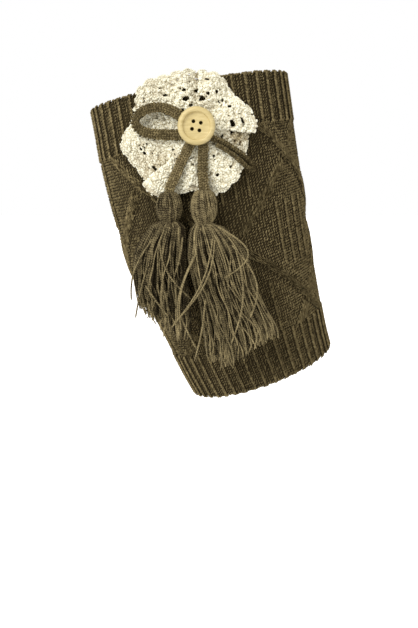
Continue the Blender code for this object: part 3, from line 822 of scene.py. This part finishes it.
def laceStitches(shown, openings):
    rng = np.random.default_rng(23)
    parts = []

    def lay(turn, part, lift, long, thick, along, wander):
        # beads of thread; along is 0 for radial posts and 90 for chains that run round
        place, side, up, out = laceFrames(turn, part, lift + rng.normal(0.0, 0.12, turn.shape))
        side, up = turned(side, up, along + rng.normal(0.0, wander, turn.shape))
        count = len(turn)
        size = rng.normal(1.0, 0.14, (count, 1))
        parts.append((place, side * thick * mm * size, up * long * mm * size,
                      out * thick * 1.2 * mm * size,
                      laceToneAndShade(turn, part) + rng.normal(0.0, 0.12, count)))

    fine = np.linspace(0.0, 360.0, 1441)
    row, part = 0, 0.10
    while part < 0.93:
        # even steps along the row's real length, which the pleats stretch
        steps = np.linalg.norm(np.diff(lacePoint(fine, part, 1.0), axis=0), axis=1)
        run = np.concatenate([[0.0], np.cumsum(steps)]) / mm
        count = round(run[-1] / lace["threadStep"])
        aims = (np.arange(count) + 0.5 + rng.normal(0.0, 0.14, count)) * run[-1] / count
        turn = np.interp(aims, run, fine)
        spot = part + rng.normal(0.0, 0.006, count)
        keep = openness(turn, spot, openings, 0.40) > 1.0
        along = (40.0, -40.0, 90.0)[row % 3]
        lay(turn[keep], spot[keep], 1.15, lace["threadLong"], lace["threadThick"], along, 30.0)
        part += lace["rowStep"] / lace["meanReach"]
        row += 1
    # a ring of thread round each opening
    for turn, part, wide, tall in shown:
        angle = np.linspace(0.0, 2.0 * math.pi, 8)[:-1] + rng.random()
        reach = fluteAt(np.array([turn]))[0][0]
        spots = turn + np.degrees((wide + 0.3) * np.cos(angle) / (reach * part))
        lay(spots, part + (tall + 0.3) * np.sin(angle) / reach, 1.05, 0.68, 0.42,
            np.degrees(angle), 10.0)
    # the scalloped edge: rounds of thread that follow the scallops
    around = np.arange(lace["shells"] * 7) * 360.0 / (lace["shells"] * 7)
    for inset, lift, thick in ((0.065, 1.15, 0.50), (0.030, 1.05, 0.50), (0.002, 0.85, 0.48),
                               (0.000, 0.45, 0.48)):
        turn = around + rng.normal(0.0, 0.15, len(around))
        lay(turn, scallopAt(turn, np.ones(len(turn))) - inset, lift, 0.78, thick, 90.0, 24.0)
    joined = [np.concatenate(column) for column in zip(*parts)]
    mesh = grainMesh("laceStitches", grainShape(6, 4), *joined)
    return addPiece(mesh, yarns["creamLace"])


shown, openings = laceOpenings()
web = laceWeb(openings)
laceThreads = laceStitches(shown, openings)
print("lace rosette ready")


# Button

button = {
    "across": 1.8,
    "down": 24.0,
    "lift": 6.6,
    "holeOut": 2.8,
    "hole": 1.0,
    "turn": -23.0,
    # radius and height of the turned profile
    "profile": [
        (0.0, 0.0), (7.4, 0.0), (8.8, 0.3), (9.6, 1.0), (10.0, 2.0), (9.9, 2.9), (9.4, 3.6),
        (8.7, 3.95), (8.1, 4.0), (7.6, 3.9), (7.3, 3.6), (7.1, 3.0), (6.9, 2.6), (6.4, 2.42),
        (3.6, 2.45), (0.0, 2.5),
    ],
    "dish": 2.45,            # height of the sunk middle
}


def seatFrame(across, down, lift):
    place = Vector(surfacePoint(across, down, lift))
    out = (Vector(surfacePoint(across, down, lift + 1.0)) - place).normalized()
    right = Vector(surfacePoint(across + 1.0, down, lift)) - place
    right = (right - out * right.dot(out)).normalized()
    rotation = Matrix((right, out.cross(right), out)).transposed().to_4x4()
    return Matrix.Translation(place) @ rotation


def turnButton():
    seat = seatFrame(button["across"], button["down"], button["lift"])
    bm = bmesh.new()
    points = [bm.verts.new(Vector((r, 0.0, z)) * mm) for r, z in button["profile"]]
    edges = [bm.edges.new(pair) for pair in zip(points, points[1:])]
    bmesh.ops.spin(bm, geom=points + edges, cent=(0, 0, 0), axis=(0, 0, 1),
                   angle=2.0 * math.pi, steps=72, use_merge=True)
    bmesh.ops.remove_doubles(bm, verts=bm.verts, dist=0.000005)
    bmesh.ops.recalc_face_normals(bm, faces=bm.faces)
    bm.transform(seat)
    mesh = meshOf(bm, "woodButton")
    piece = addPiece(mesh, paleWood, ("button",))

    drill = bmesh.new()
    for k in range(4):
        angle = math.radians(button["turn"] + 45.0 + 90.0 * k)
        place = Vector((math.cos(angle), math.sin(angle), 0.0)) * button["holeOut"] * mm
        bmesh.ops.create_cone(drill, cap_ends=True, segments=20, radius1=button["hole"] * mm,
                              radius2=button["hole"] * mm, depth=0.014,
                              matrix=seat @ Matrix.Translation(place))
        rim = place + Vector((0.0, 0.0, (button["dish"] + 0.05) * mm))
        bmesh.ops.create_cone(drill, cap_ends=True, segments=20, radius1=button["hole"] * 0.9 * mm,
                              radius2=button["hole"] * 1.45 * mm, depth=0.0006,
                              matrix=seat @ Matrix.Translation(rim))
    drillMesh = meshOf(drill, "drill")
    drillObject = bpy.data.objects.new("drill", drillMesh)
    bpy.context.scene.collection.objects.link(drillObject)
    cut = piece.modifiers.new("holes", "BOOLEAN")
    cut.operation = "DIFFERENCE"
    cut.use_self = True
    cut.object = drillObject
    bpy.context.view_layer.update()
    done = bpy.data.meshes.new_from_object(
        piece.evaluated_get(bpy.context.evaluated_depsgraph_get()))
    piece.modifiers.clear()
    piece.data = done
    bpy.data.objects.remove(drillObject)
    done.set_sharp_from_angle(angle=math.radians(40.0))
    return piece


turnButton()
print("button ready")


# Flat knitted cords of the bow

cords = {
    # width and thickness of each
    "sizes": {"loopLeft": (5.8, 3.1), "loopRight": (4.4, 2.5), "tieLeft": (5.4, 3.1),
              "tieRight": (5.4, 3.1)},
    "rowHeight": 1.45,
    "columns": 6,            # stitches round the cord
    "coreStep": 1.6,         # spacing of the core's rings
    "fuzz": 0.50,            # the stitches stand this far out of the core
    "knot": (5.5, 4.8, 4.9, 1.6),   # half width, half height, lift, half thickness
    # tone of each cord's stitches; the right loop's low tone is painted shade
    "tones": {"loopLeft": 0.38, "loopRight": 0.26, "tieLeft": 0.46, "tieRight": 0.38},
    "turnPaintedShade": 0.22,        # painted shade: a loop is this much darker where it turns back
    # across, down, lift and stand of each stop: stand 0 lies flat, 90 is on edge
    "loopLeft": [
        (-2.6, 20.6, 4.7, 0.0), (-6.8, 15.4, 5.0, 15.0), (-13.5, 11.0, 6.8, 28.0),
        (-20.0, 10.4, 8.6, 28.0), (-25.2, 12.6, 10.0, 25.0), (-26.8, 16.4, 10.4, 20.0),
        (-24.2, 20.4, 9.6, 25.0), (-18.5, 23.4, 7.8, 25.0), (-11.5, 25.4, 5.6, 15.0),
        (-4.6, 26.8, 4.7, 0.0),
    ],
    "loopRight": [
        (8.6, 31.9, 6.2, 60.0), (12.6, 34.4, 6.6, 75.0), (18.2, 39.8, 7.2, 80.0),
        (23.6, 46.8, 7.6, 80.0), (25.8, 51.8, 7.8, 80.0), (23.7, 51.8, 7.8, 80.0),
        (20.1, 46.8, 7.6, 80.0), (14.9, 40.1, 7.2, 80.0), (10.4, 35.8, 6.8, 75.0),
    ],
    "tieLeft": [
        (0.6, 26.4, 4.7, 0.0), (-1.3, 30.6, 4.8, 0.0), (-3.9, 34.0, 5.0, 0.0),
        (-7.6, 38.8, 5.4, 5.0), (-11.2, 44.4, 7.0, 5.0), (-14.6, 50.0, 9.4, 0.0),
        (-16.2, 53.0, 10.6, 0.0), (-16.4, 55.2, 10.7, 0.0),
    ],
    "tieRight": [
        (5.4, 26.6, 4.7, 0.0), (4.4, 31.0, 4.8, 0.0), (3.4, 35.6, 5.2, 0.0),
        (2.2, 41.0, 6.2, -5.0), (1.0, 47.0, 7.6, -5.0), (0.4, 52.0, 9.4, 0.0),
        (0.0, 55.8, 10.8, 0.0), (-0.2, 58.2, 10.9, 0.0),
    ],
}


def cordRoute(stops, step):
    # centre, tangent, width direction and face direction at even steps along the cord
    fine = smoothRows(stops, 24)
    centre = surfacePoint(fine[:, 0], fine[:, 1], fine[:, 2])
    raised = surfacePoint(fine[:, 0], fine[:, 1], fine[:, 2] + 1.0)
    run = np.concatenate([[0.0], np.cumsum(np.linalg.norm(np.diff(centre, axis=0), axis=1))])
    count = max(4, round(run[-1] / (step * mm)))
    aims = np.linspace(0.0, run[-1], count + 1)

    def read(values):
        return np.stack([np.interp(aims, run, values[:, k]) for k in range(values.shape[1])], -1)

    place, out, stand = read(centre), unit(read(raised) - read(centre)), read(fine[:, 3:4])
    along = unit(np.gradient(place, axis=0))
    out = unit(out - along * np.sum(out * along, axis=1, keepdims=True))
    outside = np.cross(along, out)
    lean = np.radians(stand)
    face = unit(out * np.cos(lean) + outside * np.sin(lean))
    return place, along, np.cross(along, face), face, run[-1]


def tubeArrays(place, sides, ups, count, pitch):
    # a closed tube through rings: sides and ups are the half axes of each ring
    angle = np.arange(count) * 2.0 * math.pi / count
    rings = (place[:, None, :] + sides[:, None, :] * np.cos(angle)[None, :, None]
             + ups[:, None, :] * np.sin(angle)[None, :, None])
    n = len(place)
    corners, sizes, uv = [], [], []
    run = np.concatenate([[0.0], np.cumsum(np.linalg.norm(np.diff(place, axis=0), axis=1))])
    run = run / mm * pitch
    for i in range(n - 1):
        for k in range(count):
            m = (k + 1) % count
            corners += [i * count + k, i * count + m, (i + 1) * count + m, (i + 1) * count + k]
            uv += [(k / count, run[i]), ((k + 1) / count, run[i]),
                   ((k + 1) / count, run[i + 1]), (k / count, run[i + 1])]
            sizes.append(4)
    corners += list(range(count))[::-1] + [(n - 1) * count + k for k in range(count)]
    uv += [(0.5, 0.0)] * (2 * count)
    sizes += [count, count]
    return rings.reshape(-1, 3), np.array(corners), np.array(sizes), np.array(uv), n


def joinTubes(name, tubes, tones):
    verts, corners, sizes, uv, tone = [], [], [], [], []
    start = 0
    for (v, c, s, t, rings), shade in zip(tubes, tones):
        verts.append(v)
        corners.append(c + start)
        sizes.append(s)
        uv.append(t)
        tone.append(np.repeat(np.broadcast_to(shade, rings), len(v) // rings))
        start += len(v)
    return arrayMesh(name, np.concatenate(verts), np.concatenate(corners),
                     np.concatenate(sizes), np.concatenate(uv), np.concatenate(tone))


def knitCord(name, stops, node, seed):
    rng = np.random.default_rng(seed)
    halfWide, halfThick = ((size / 2 - cords["fuzz"]) * mm for size in cords["sizes"][name])
    isLoop = name.startswith("loop")
    path, along, wide, face, length = cordRoute(stops, cords["coreStep"])
    core = joinTubes(name, [tubeArrays(path, wide * halfWide, -face * halfThick, 14, 1.0)], [0.12])
    piece = addPiece(core, yarns["cordKnit"], (node,))

    place, along, wide, face, length = cordRoute(stops, cords["rowHeight"])
    parts = []
    # painted shade in the middle of a loop, where it turns back
    middle = np.exp(-(np.linspace(-1.0, 1.0, len(place)) / 0.28) ** 2)
    shade = cords["tones"][name] - cords["turnPaintedShade"] * isLoop * middle
    for k in range(cords["columns"]):
        angle = 2.0 * math.pi * (k + 0.25) / cords["columns"]
        spot = (place + wide * (halfWide + 0.05 * mm) * math.cos(angle)
                + face * (halfThick + 0.05 * mm) * math.sin(angle))
        out = unit(wide * math.cos(angle) / halfWide + face * math.sin(angle) / halfThick)
        side = np.cross(out, along)
        count = len(spot)
        for sign in (-1.0, 1.0):
            lean = np.full(count, -sign * 32.0) + rng.normal(0.0, 8.0, count)
            legSide, legUp = turned(side, along, lean)
            jitter = along * rng.normal(0.0, 0.10, (count, 1)) * mm
            size = rng.normal(1.0, 0.12, (count, 1))
            parts.append((spot + sign * side * 0.55 * mm + jitter, legSide * 0.44 * mm * size,
                          legUp * 0.98 * mm * size, -np.cross(legUp, legSide) * 0.6 * mm * size,
                          shade + rng.normal(0.0, 0.11, count)))
    joined = [np.concatenate(column) for column in zip(*parts)]
    threads = addPiece(grainMesh(name + "Stitches", bead, *joined), yarns["cordKnit"])
    return piece, threads, path, length


# Tassels

tassels = {
    "headFlat": 0.85,
    "neck": 0.62,            # the tied neck, as a part of the head's radius
    # part of the head's height and of its radius
    "headProfile": [
        (0.0, 0.42), (0.12, 0.78), (0.36, 0.98), (0.60, 1.0), (0.80, 0.88), (0.93, 0.70),
        (1.0, 0.62),
    ],
    "yarn": 0.38,            # radius of a strand
    "packed": (26, 1.15),    # count and radius of the thick bundles in the middle, near black as painted shade inside the skirt
    "sides": 5,
    "headPoints": 13,        # points of a strand on the head and in the skirt
    "skirtPoints": 28,
    "goldenAngle": 2.39996,  # spreads the strands evenly over a disc
    "paleTips": 0.26,
    "pull": 0.32,            # how far the strands of a clump draw together at their ends
    "tasselLeft": {
        "node": "tassel_left", "head": (-16.4, 53.9, 10.6), "radius": 7.3, "tall": 16.0,
        "outer": 74, "inner": 150, "seed": 31, "tone": 0.17, "headTone": 0.20,
        # drop below the head, shift to +X, half width, front and back from the leg's middle
        "skirt": [
            (3.0, -1.0, 9.8, 73.0, 59.2), (10.0, -3.4, 12.9, 75.0, 58.6),
            (20.0, -5.1, 14.6, 76.2, 58.0), (33.0, -4.9, 15.0, 75.4, 57.2),
            (48.0, -3.2, 14.6, 73.0, 56.0), (66.0, -1.2, 13.2, 69.0, 54.0),
        ],
        # where the strands gather: across and forward
        "clumps": [(-0.85, 0.1), (-0.45, 0.6), (0.05, 0.6), (0.5, 0.5), (0.85, -0.1),
                   (-0.4, -0.6), (0.3, -0.7)],
        # how long the strands are, as parts of the longest, from one side to the other
        "ends": [(-1.0, 0.70), (-0.5, 0.80), (0.0, 0.92), (0.4, 1.0), (1.0, 0.97)],
    },
    "tasselRight": {
        "node": "tassel_right", "head": (-0.2, 56.8, 10.8), "radius": 7.4, "tall": 18.5,
        "outer": 80, "inner": 210, "seed": 37, "tone": 0.27, "headTone": 0.33,
        "skirt": [
            (3.0, 2.2, 10.0, 74.0, 59.2), (9.0, 4.8, 13.6, 77.8, 58.4),
            (18.0, 7.6, 16.6, 80.0, 57.8), (33.0, 11.2, 17.0, 79.2, 56.6),
            (46.0, 16.0, 18.4, 77.2, 55.0), (60.0, 20.4, 21.2, 74.5, 53.4),
            (81.0, 22.6, 20.4, 69.0, 50.5),
        ],
        "clumps": [(-0.92, 0.1), (-0.50, 0.5), (-0.05, 0.7), (0.42, 0.5), (0.92, 0.1),
                   (-0.45, -0.6), (0.35, -0.7)],
        "ends": [(-1.0, 0.86), (-0.9, 0.95), (-0.5, 1.0), (0.1, 0.88), (0.45, 0.83),
                 (0.8, 0.80), (1.0, 0.75)],
    },
    # single strands that have strayed: x and z where each leaves the skirt and where it
    # ends, how far its middle bows to +X, and how far it hangs in front of the leg's middle
    "strays": {
        "tasselLeft": [
            (-16, -70, 0, -99, -4, 77), (-19, -66, -32, -100, -4, 75),
            (-20, -74, -30, -110, -1, 74), (-4, -66, -9, -88, 1, 76),
            (-24, -92, -12, -109, 0, 76),
        ],
        "tasselRight": [
            (14, -60, 17, -88, 15, 80), (22, -70, 32, -109, 8, 79), (12, -66, -10, -114, 5, 80),
            (13, -67, -9, -112, 6, 80), (2, -76, -6, -119, -4, 78), (3, -75, -5, -116, -4, 79),
            (8, -99, 2, -133, 1, 79), (-6, -108, 3, -127, 0, 75), (24, -72, 22, -123, 5, 80),
        ],
    },
}


def strayRoute(x, z, endX, endZ, bow, front):
    # a strand that starts and ends a little nearer the skirt than its middle hangs
    fall = np.linspace(0.0, 1.0, 6)
    arch = np.sin(math.pi * fall)
    return np.stack([x + (endX - x) * fall + bow * arch, -(front - 2.0 + 2.0 * arch),
                     z + (endZ - z) * fall], axis=-1)


def skirtPoint(look, foot, drop, x, y):
    # where a strand passes that far below the head, for a place x, y in the unit disc
    rows = np.array(look["skirt"])
    fine = smoothRows(rows, 12)
    shift, half, front, back = (np.interp(drop, fine[:, 0], fine[:, k]) for k in (1, 2, 3, 4))
    t = np.clip(drop / rows[0, 0], 0.0, 1.0)
    bulge = 1.0 - (1.0 - t) ** 3.0       # the strands leave the neck nearly level
    radius = look["radius"] * tassels["neck"]
    half = radius + (half - radius) * bulge
    forward = -foot[1] / mm + ((front + back) / 2.0 + foot[1] / mm) * bulge
    deep = tassels["headFlat"] * radius
    deep = deep + ((front - back) / 2.0 - deep) * bulge
    return np.stack([foot[0] + (shift * bulge + (half - 0.4) * x) * mm,
                     -(forward - (deep - 0.4) * y) * mm, foot[2] - drop * mm], axis=-1)


def strandTube(points, radius, tip, start=0.0):
    # a round strand through the points, its rings turned as little as possible
    along = unit(np.gradient(points, axis=0))
    side = np.cross(along[0], (0.0, 1.0, 0.3))
    sides = []
    for tangent in along:
        side = side - tangent * np.dot(side, tangent)
        side = side / np.linalg.norm(side)
        sides.append(side)
    sides = np.array(sides)
    thin = np.ones(len(points))
    thin[-1] = tip
    size = radius * mm * thin[:, None]
    tube_ = tubeArrays(points, sides * size, np.cross(along, sides) * size, tassels["sides"], 1.0)
    tube_[3][:, 1] += start             # so that the plies of neighbours don't line up
    return tube_


def makeTassel(name):
    look = tassels[name]
    rng = np.random.default_rng(look["seed"])
    top = surfacePoint(*look["head"])
    foot = top - np.array([0.0, 0.0, look["tall"] * mm])
    full = look["skirt"][-1][0]
    strands, tones = [], []

    def hang(x, y, start):
        # one strand of the skirt, wandering and drawing into its clump as it falls
        near = min(look["clumps"], key=lambda c: (c[0] - x) ** 2 + 0.6 * (c[1] + y) ** 2)
        last = np.interp(0.6 * x + 0.4 * near[0], *zip(*look["ends"])) * (1.0 - 0.06 * rng.random())
        drop = start + (last * full - start) * np.linspace(0.0, 1.0, tassels["skirtPoints"])
        fall = drop / full
        spread = [x, y]
        for axis, aim in enumerate((near[0], -near[1])):
            waves = [rng.normal(0.0, size) * np.sin(rate * fall + rng.random() * 6.28)
                     for size, rate in ((0.15, 3.4), (0.085, 9.0), (0.050, 22.0))]
            pull = tassels["pull"] * ease(fall, 0.25, 1.0) * (aim - spread[axis])
            spread[axis] = spread[axis] + pull + np.sqrt(np.maximum(fall, 0.0)) * sum(waves)
        size = np.maximum(np.hypot(*spread), 1.0)
        return skirtPoint(look, foot, drop, spread[0] / size, spread[1] / size)

    # the cut ends are paler
    tips = tassels["paleTips"] * np.linspace(0.0, 1.0, tassels["skirtPoints"]) ** 4
    part = np.linspace(0.03, 0.97, tassels["headPoints"])
    wide = np.interp(part, *zip(*tassels["headProfile"]))
    for k in range(look["outer"]):
        angle = 2.0 * math.pi * (k + 0.5 * rng.random()) / look["outer"]
        spiral = angle - 0.35 * (1.0 - part) + rng.normal(0.0, 0.07) * np.sin(part * 5.0)
        radius = (look["radius"] - 0.45 + rng.normal(0.0, 0.08)) * wide * mm
        head = np.stack([top[0] + radius * np.cos(spiral),
                         top[1] + radius * tassels["headFlat"] * np.sin(spiral),
                         top[2] - part * look["tall"] * mm], axis=-1)
        skirt = hang(math.cos(angle), math.sin(angle), 0.4)
        strands.append(strandTube(np.concatenate([head, skirt]), tassels["yarn"], 0.8,
                                  10.0 * rng.random()))
        shades = np.concatenate([np.full(len(part), look["headTone"] + rng.normal(0.0, 0.10)),
                                 look["tone"] + rng.normal(0.0, 0.20) + tips])
        tones.append(shades)
    for k in range(look["inner"]):
        angle = k * tassels["goldenAngle"]
        ring = 0.30 + 0.66 * math.sqrt((k + 0.5) / look["inner"])
        strands.append(strandTube(hang(ring * math.cos(angle), ring * math.sin(angle), -0.5),
                                  tassels["yarn"], 0.8, 10.0 * rng.random()))
        # painted shade: the inner strands are a little darker
        tones.append(look["tone"] - 0.06 + rng.normal(0.0, 0.20) + tips)
    count, thick = tassels["packed"]
    for k in range(count):
        angle = k * tassels["goldenAngle"]
        ring = 0.62 * math.sqrt((k + 0.5) / count)
        bundle = hang(ring * math.cos(angle), ring * math.sin(angle), -0.5)[:24]
        strands.append(strandTube(bundle, thick, 0.4))
        # near black: painted shade inside the skirt
        tones.append(0.02)
    for stray in tassels["strays"][name]:
        strands.append(strandTube(smoothRows(strayRoute(*stray), 7) * mm, tassels["yarn"] * 1.25, 0.6,
                                  10.0 * rng.random()))
        tones.append(look["tone"] + 0.20)
    piece = addPiece(joinTubes(name, strands, tones), yarns["tasselYarn"],
                     (look["node"],))

    # a smooth middle of the head, and the yarn wound round its neck
    bm = bmesh.new()
    bmesh.ops.create_uvsphere(bm, u_segments=20, v_segments=12, radius=1.0)
    size = Vector(((look["radius"] - 1.0), (look["radius"] - 1.0) * tassels["headFlat"],
                   look["tall"] * 0.5)) * mm
    bmesh.ops.scale(bm, vec=size, verts=bm.verts)
    bmesh.ops.translate(bm, vec=Vector((top + foot) / 2.0), verts=bm.verts)
    mesh = meshOf(bm, name + "Core")
    core = addPiece(mesh, yarns["oliveKnit"])
    wraps = []
    neck = look["radius"] * tassels["neck"]
    for k in range(3):
        t = np.linspace(0.0, 2.0 * math.pi, 40)
        z = foot[2] + (0.3 + 0.8 * k + 0.25 * np.sin(t)) * mm
        wraps.append(strandTube(np.stack([
            foot[0] + neck * np.cos(t) * mm,
            foot[1] + neck * tassels["headFlat"] * np.sin(t) * mm, z], axis=-1), 0.45, 1.0))
    # the wraps are dark: painted shade of the crease at the tied neck
    tie = addPiece(joinTubes(name + "Neck", wraps, [0.08] * 3),
                   yarns["tasselYarn"])
    return piece, core, tie


def makeKnot():
    # the small knot of the bow that the button is sewn on
    frameOf = seatFrame(button["across"], button["down"], cords["knot"][2])
    bm = bmesh.new()
    bmesh.ops.create_uvsphere(bm, u_segments=24, v_segments=12, radius=1.0)
    bmesh.ops.scale(bm, vec=Vector(cords["knot"][:2] + cords["knot"][3:]) * mm, verts=bm.verts)
    bmesh.ops.transform(bm, matrix=frameOf, verts=bm.verts)
    mesh = meshOf(bm, "bowKnot")
    return addPiece(mesh, yarns["cordKnit"])


bow = {
    "loopLeft": ("bow_loop_left", 41, None),
    "loopRight": ("bow_loop_right", 43, None),
    "tieLeft": ("tassel_cord_left", 45, "tasselLeft"),
    "tieRight": ("tassel_cord_right", 47, "tasselRight"),
}
for name, (node, seed, tassel) in bow.items():
    piece, threads, path, length = knitCord(name, cords[name], node, seed)
    with_ = [threads, makeKnot()] if name == "loopLeft" else [threads]
    if tassel:
        with_ += makeTassel(tassel)
    print(name, "ready,", round(length / mm, 1), "mm of cord")


# Camera, floor and light

view = {
    "target": (10.0, 0.0, -122.6),
    "distance": 450.0,
    "pitch": 11.5,
    "lens": 39.7,            # for 36 mm on the picture's long side
    "skyLight": 0.68,        # light from all round, while the camera sees white
    "skyTint": (1.0, 0.965, 0.90),
    "floorDrop": 250.0,      # the floor lies this far under the hem
}


def makeStage():
    scene = bpy.context.scene
    pitch = math.radians(view["pitch"])
    target = Vector(view["target"]) * mm
    forward = Vector((0.0, math.cos(pitch), -math.sin(pitch)))
    camera = bpy.data.objects.new("camera", bpy.data.cameras.new("camera"))
    camera.location = target - forward * view["distance"] * mm
    camera.rotation_euler = (math.radians(90.0) - pitch, 0.0, 0.0)
    camera.data.lens = view["lens"]
    camera.data.sensor_fit = "VERTICAL"
    camera.data.sensor_height = 36.0
    camera.data.clip_start = 0.01
    scene.collection.objects.link(camera)
    scene.camera = camera

    floorHeight = cadBox[0][2] - view["floorDrop"] * mm
    bm = bmesh.new()
    bmesh.ops.create_grid(bm, x_segments=1, y_segments=1, size=6.0)
    bmesh.ops.translate(bm, vec=(0.0, 0.0, floorHeight), verts=bm.verts)
    mesh = meshOf(bm, "floor")
    floor = bpy.data.objects.new("floor", mesh)
    scene.collection.objects.link(floor)
    pale, tree, shader = newMaterial("paleFloor", {
        "Base Color": (0.93, 0.93, 0.93, 1.0), "Roughness": 0.9,
        "Emission Color": (1.0, 1.0, 1.0, 1.0),
    })
    # the floor is as white as the backdrop to the camera, yet lights nothing by itself
    seen = tree.nodes.new("ShaderNodeLightPath")
    tree.links.new(seen.outputs["Is Camera Ray"], shader.inputs["Emission Strength"])
    mesh.materials.append(pale)

    # place, size and power of each lamp; all aim at the middle of the cloth
    lamps = {
        "key": ((-0.55, -0.85, 0.60), 0.7, 11.5),
        "fill": ((0.75, -0.60, 0.05), 0.9, 1.0),
    }
    aim = Vector((0.0, 0.0, -0.08))
    for name, (place, size, power) in lamps.items():
        lamp = bpy.data.lights.new(name, "AREA")
        lamp.size = size
        lamp.energy = power
        obj = bpy.data.objects.new(name, lamp)
        obj.location = place
        obj.rotation_euler = (aim - Vector(place)).to_track_quat("-Z", "Y").to_euler()
        scene.collection.objects.link(obj)
    world = bpy.data.worlds.new("studio")
    world.use_nodes = True
    tree = world.node_tree
    seen = tree.nodes.new("ShaderNodeLightPath")
    strength = mathNode(tree, "MULTIPLY", seen.outputs["Is Camera Ray"], 1.0 - view["skyLight"])
    strength = mathNode(tree, "ADD", strength, view["skyLight"])
    tint = tree.nodes.new("ShaderNodeMix")
    tint.data_type = "RGBA"
    tint.inputs[6].default_value = (*view["skyTint"], 1.0)
    tint.inputs[7].default_value = (1.0, 1.0, 1.0, 1.0)
    tree.links.new(seen.outputs["Is Camera Ray"], tint.inputs[0])
    tree.links.new(tint.outputs[2], tree.nodes["Background"].inputs["Color"])
    tree.links.new(strength, tree.nodes["Background"].inputs["Strength"])
    scene.world = world
    scene.view_settings.view_transform = "Standard"


makeStage()
print("stage ready")
graph = bpy.context.evaluated_depsgraph_get()
added = [len(o.evaluated_get(graph).to_mesh().loop_triangles) for o in bpy.context.scene.objects
         if o.type == "MESH" and o.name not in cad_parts]
print("triangles in the added pieces:", sum(added), "most in one:", max(added))
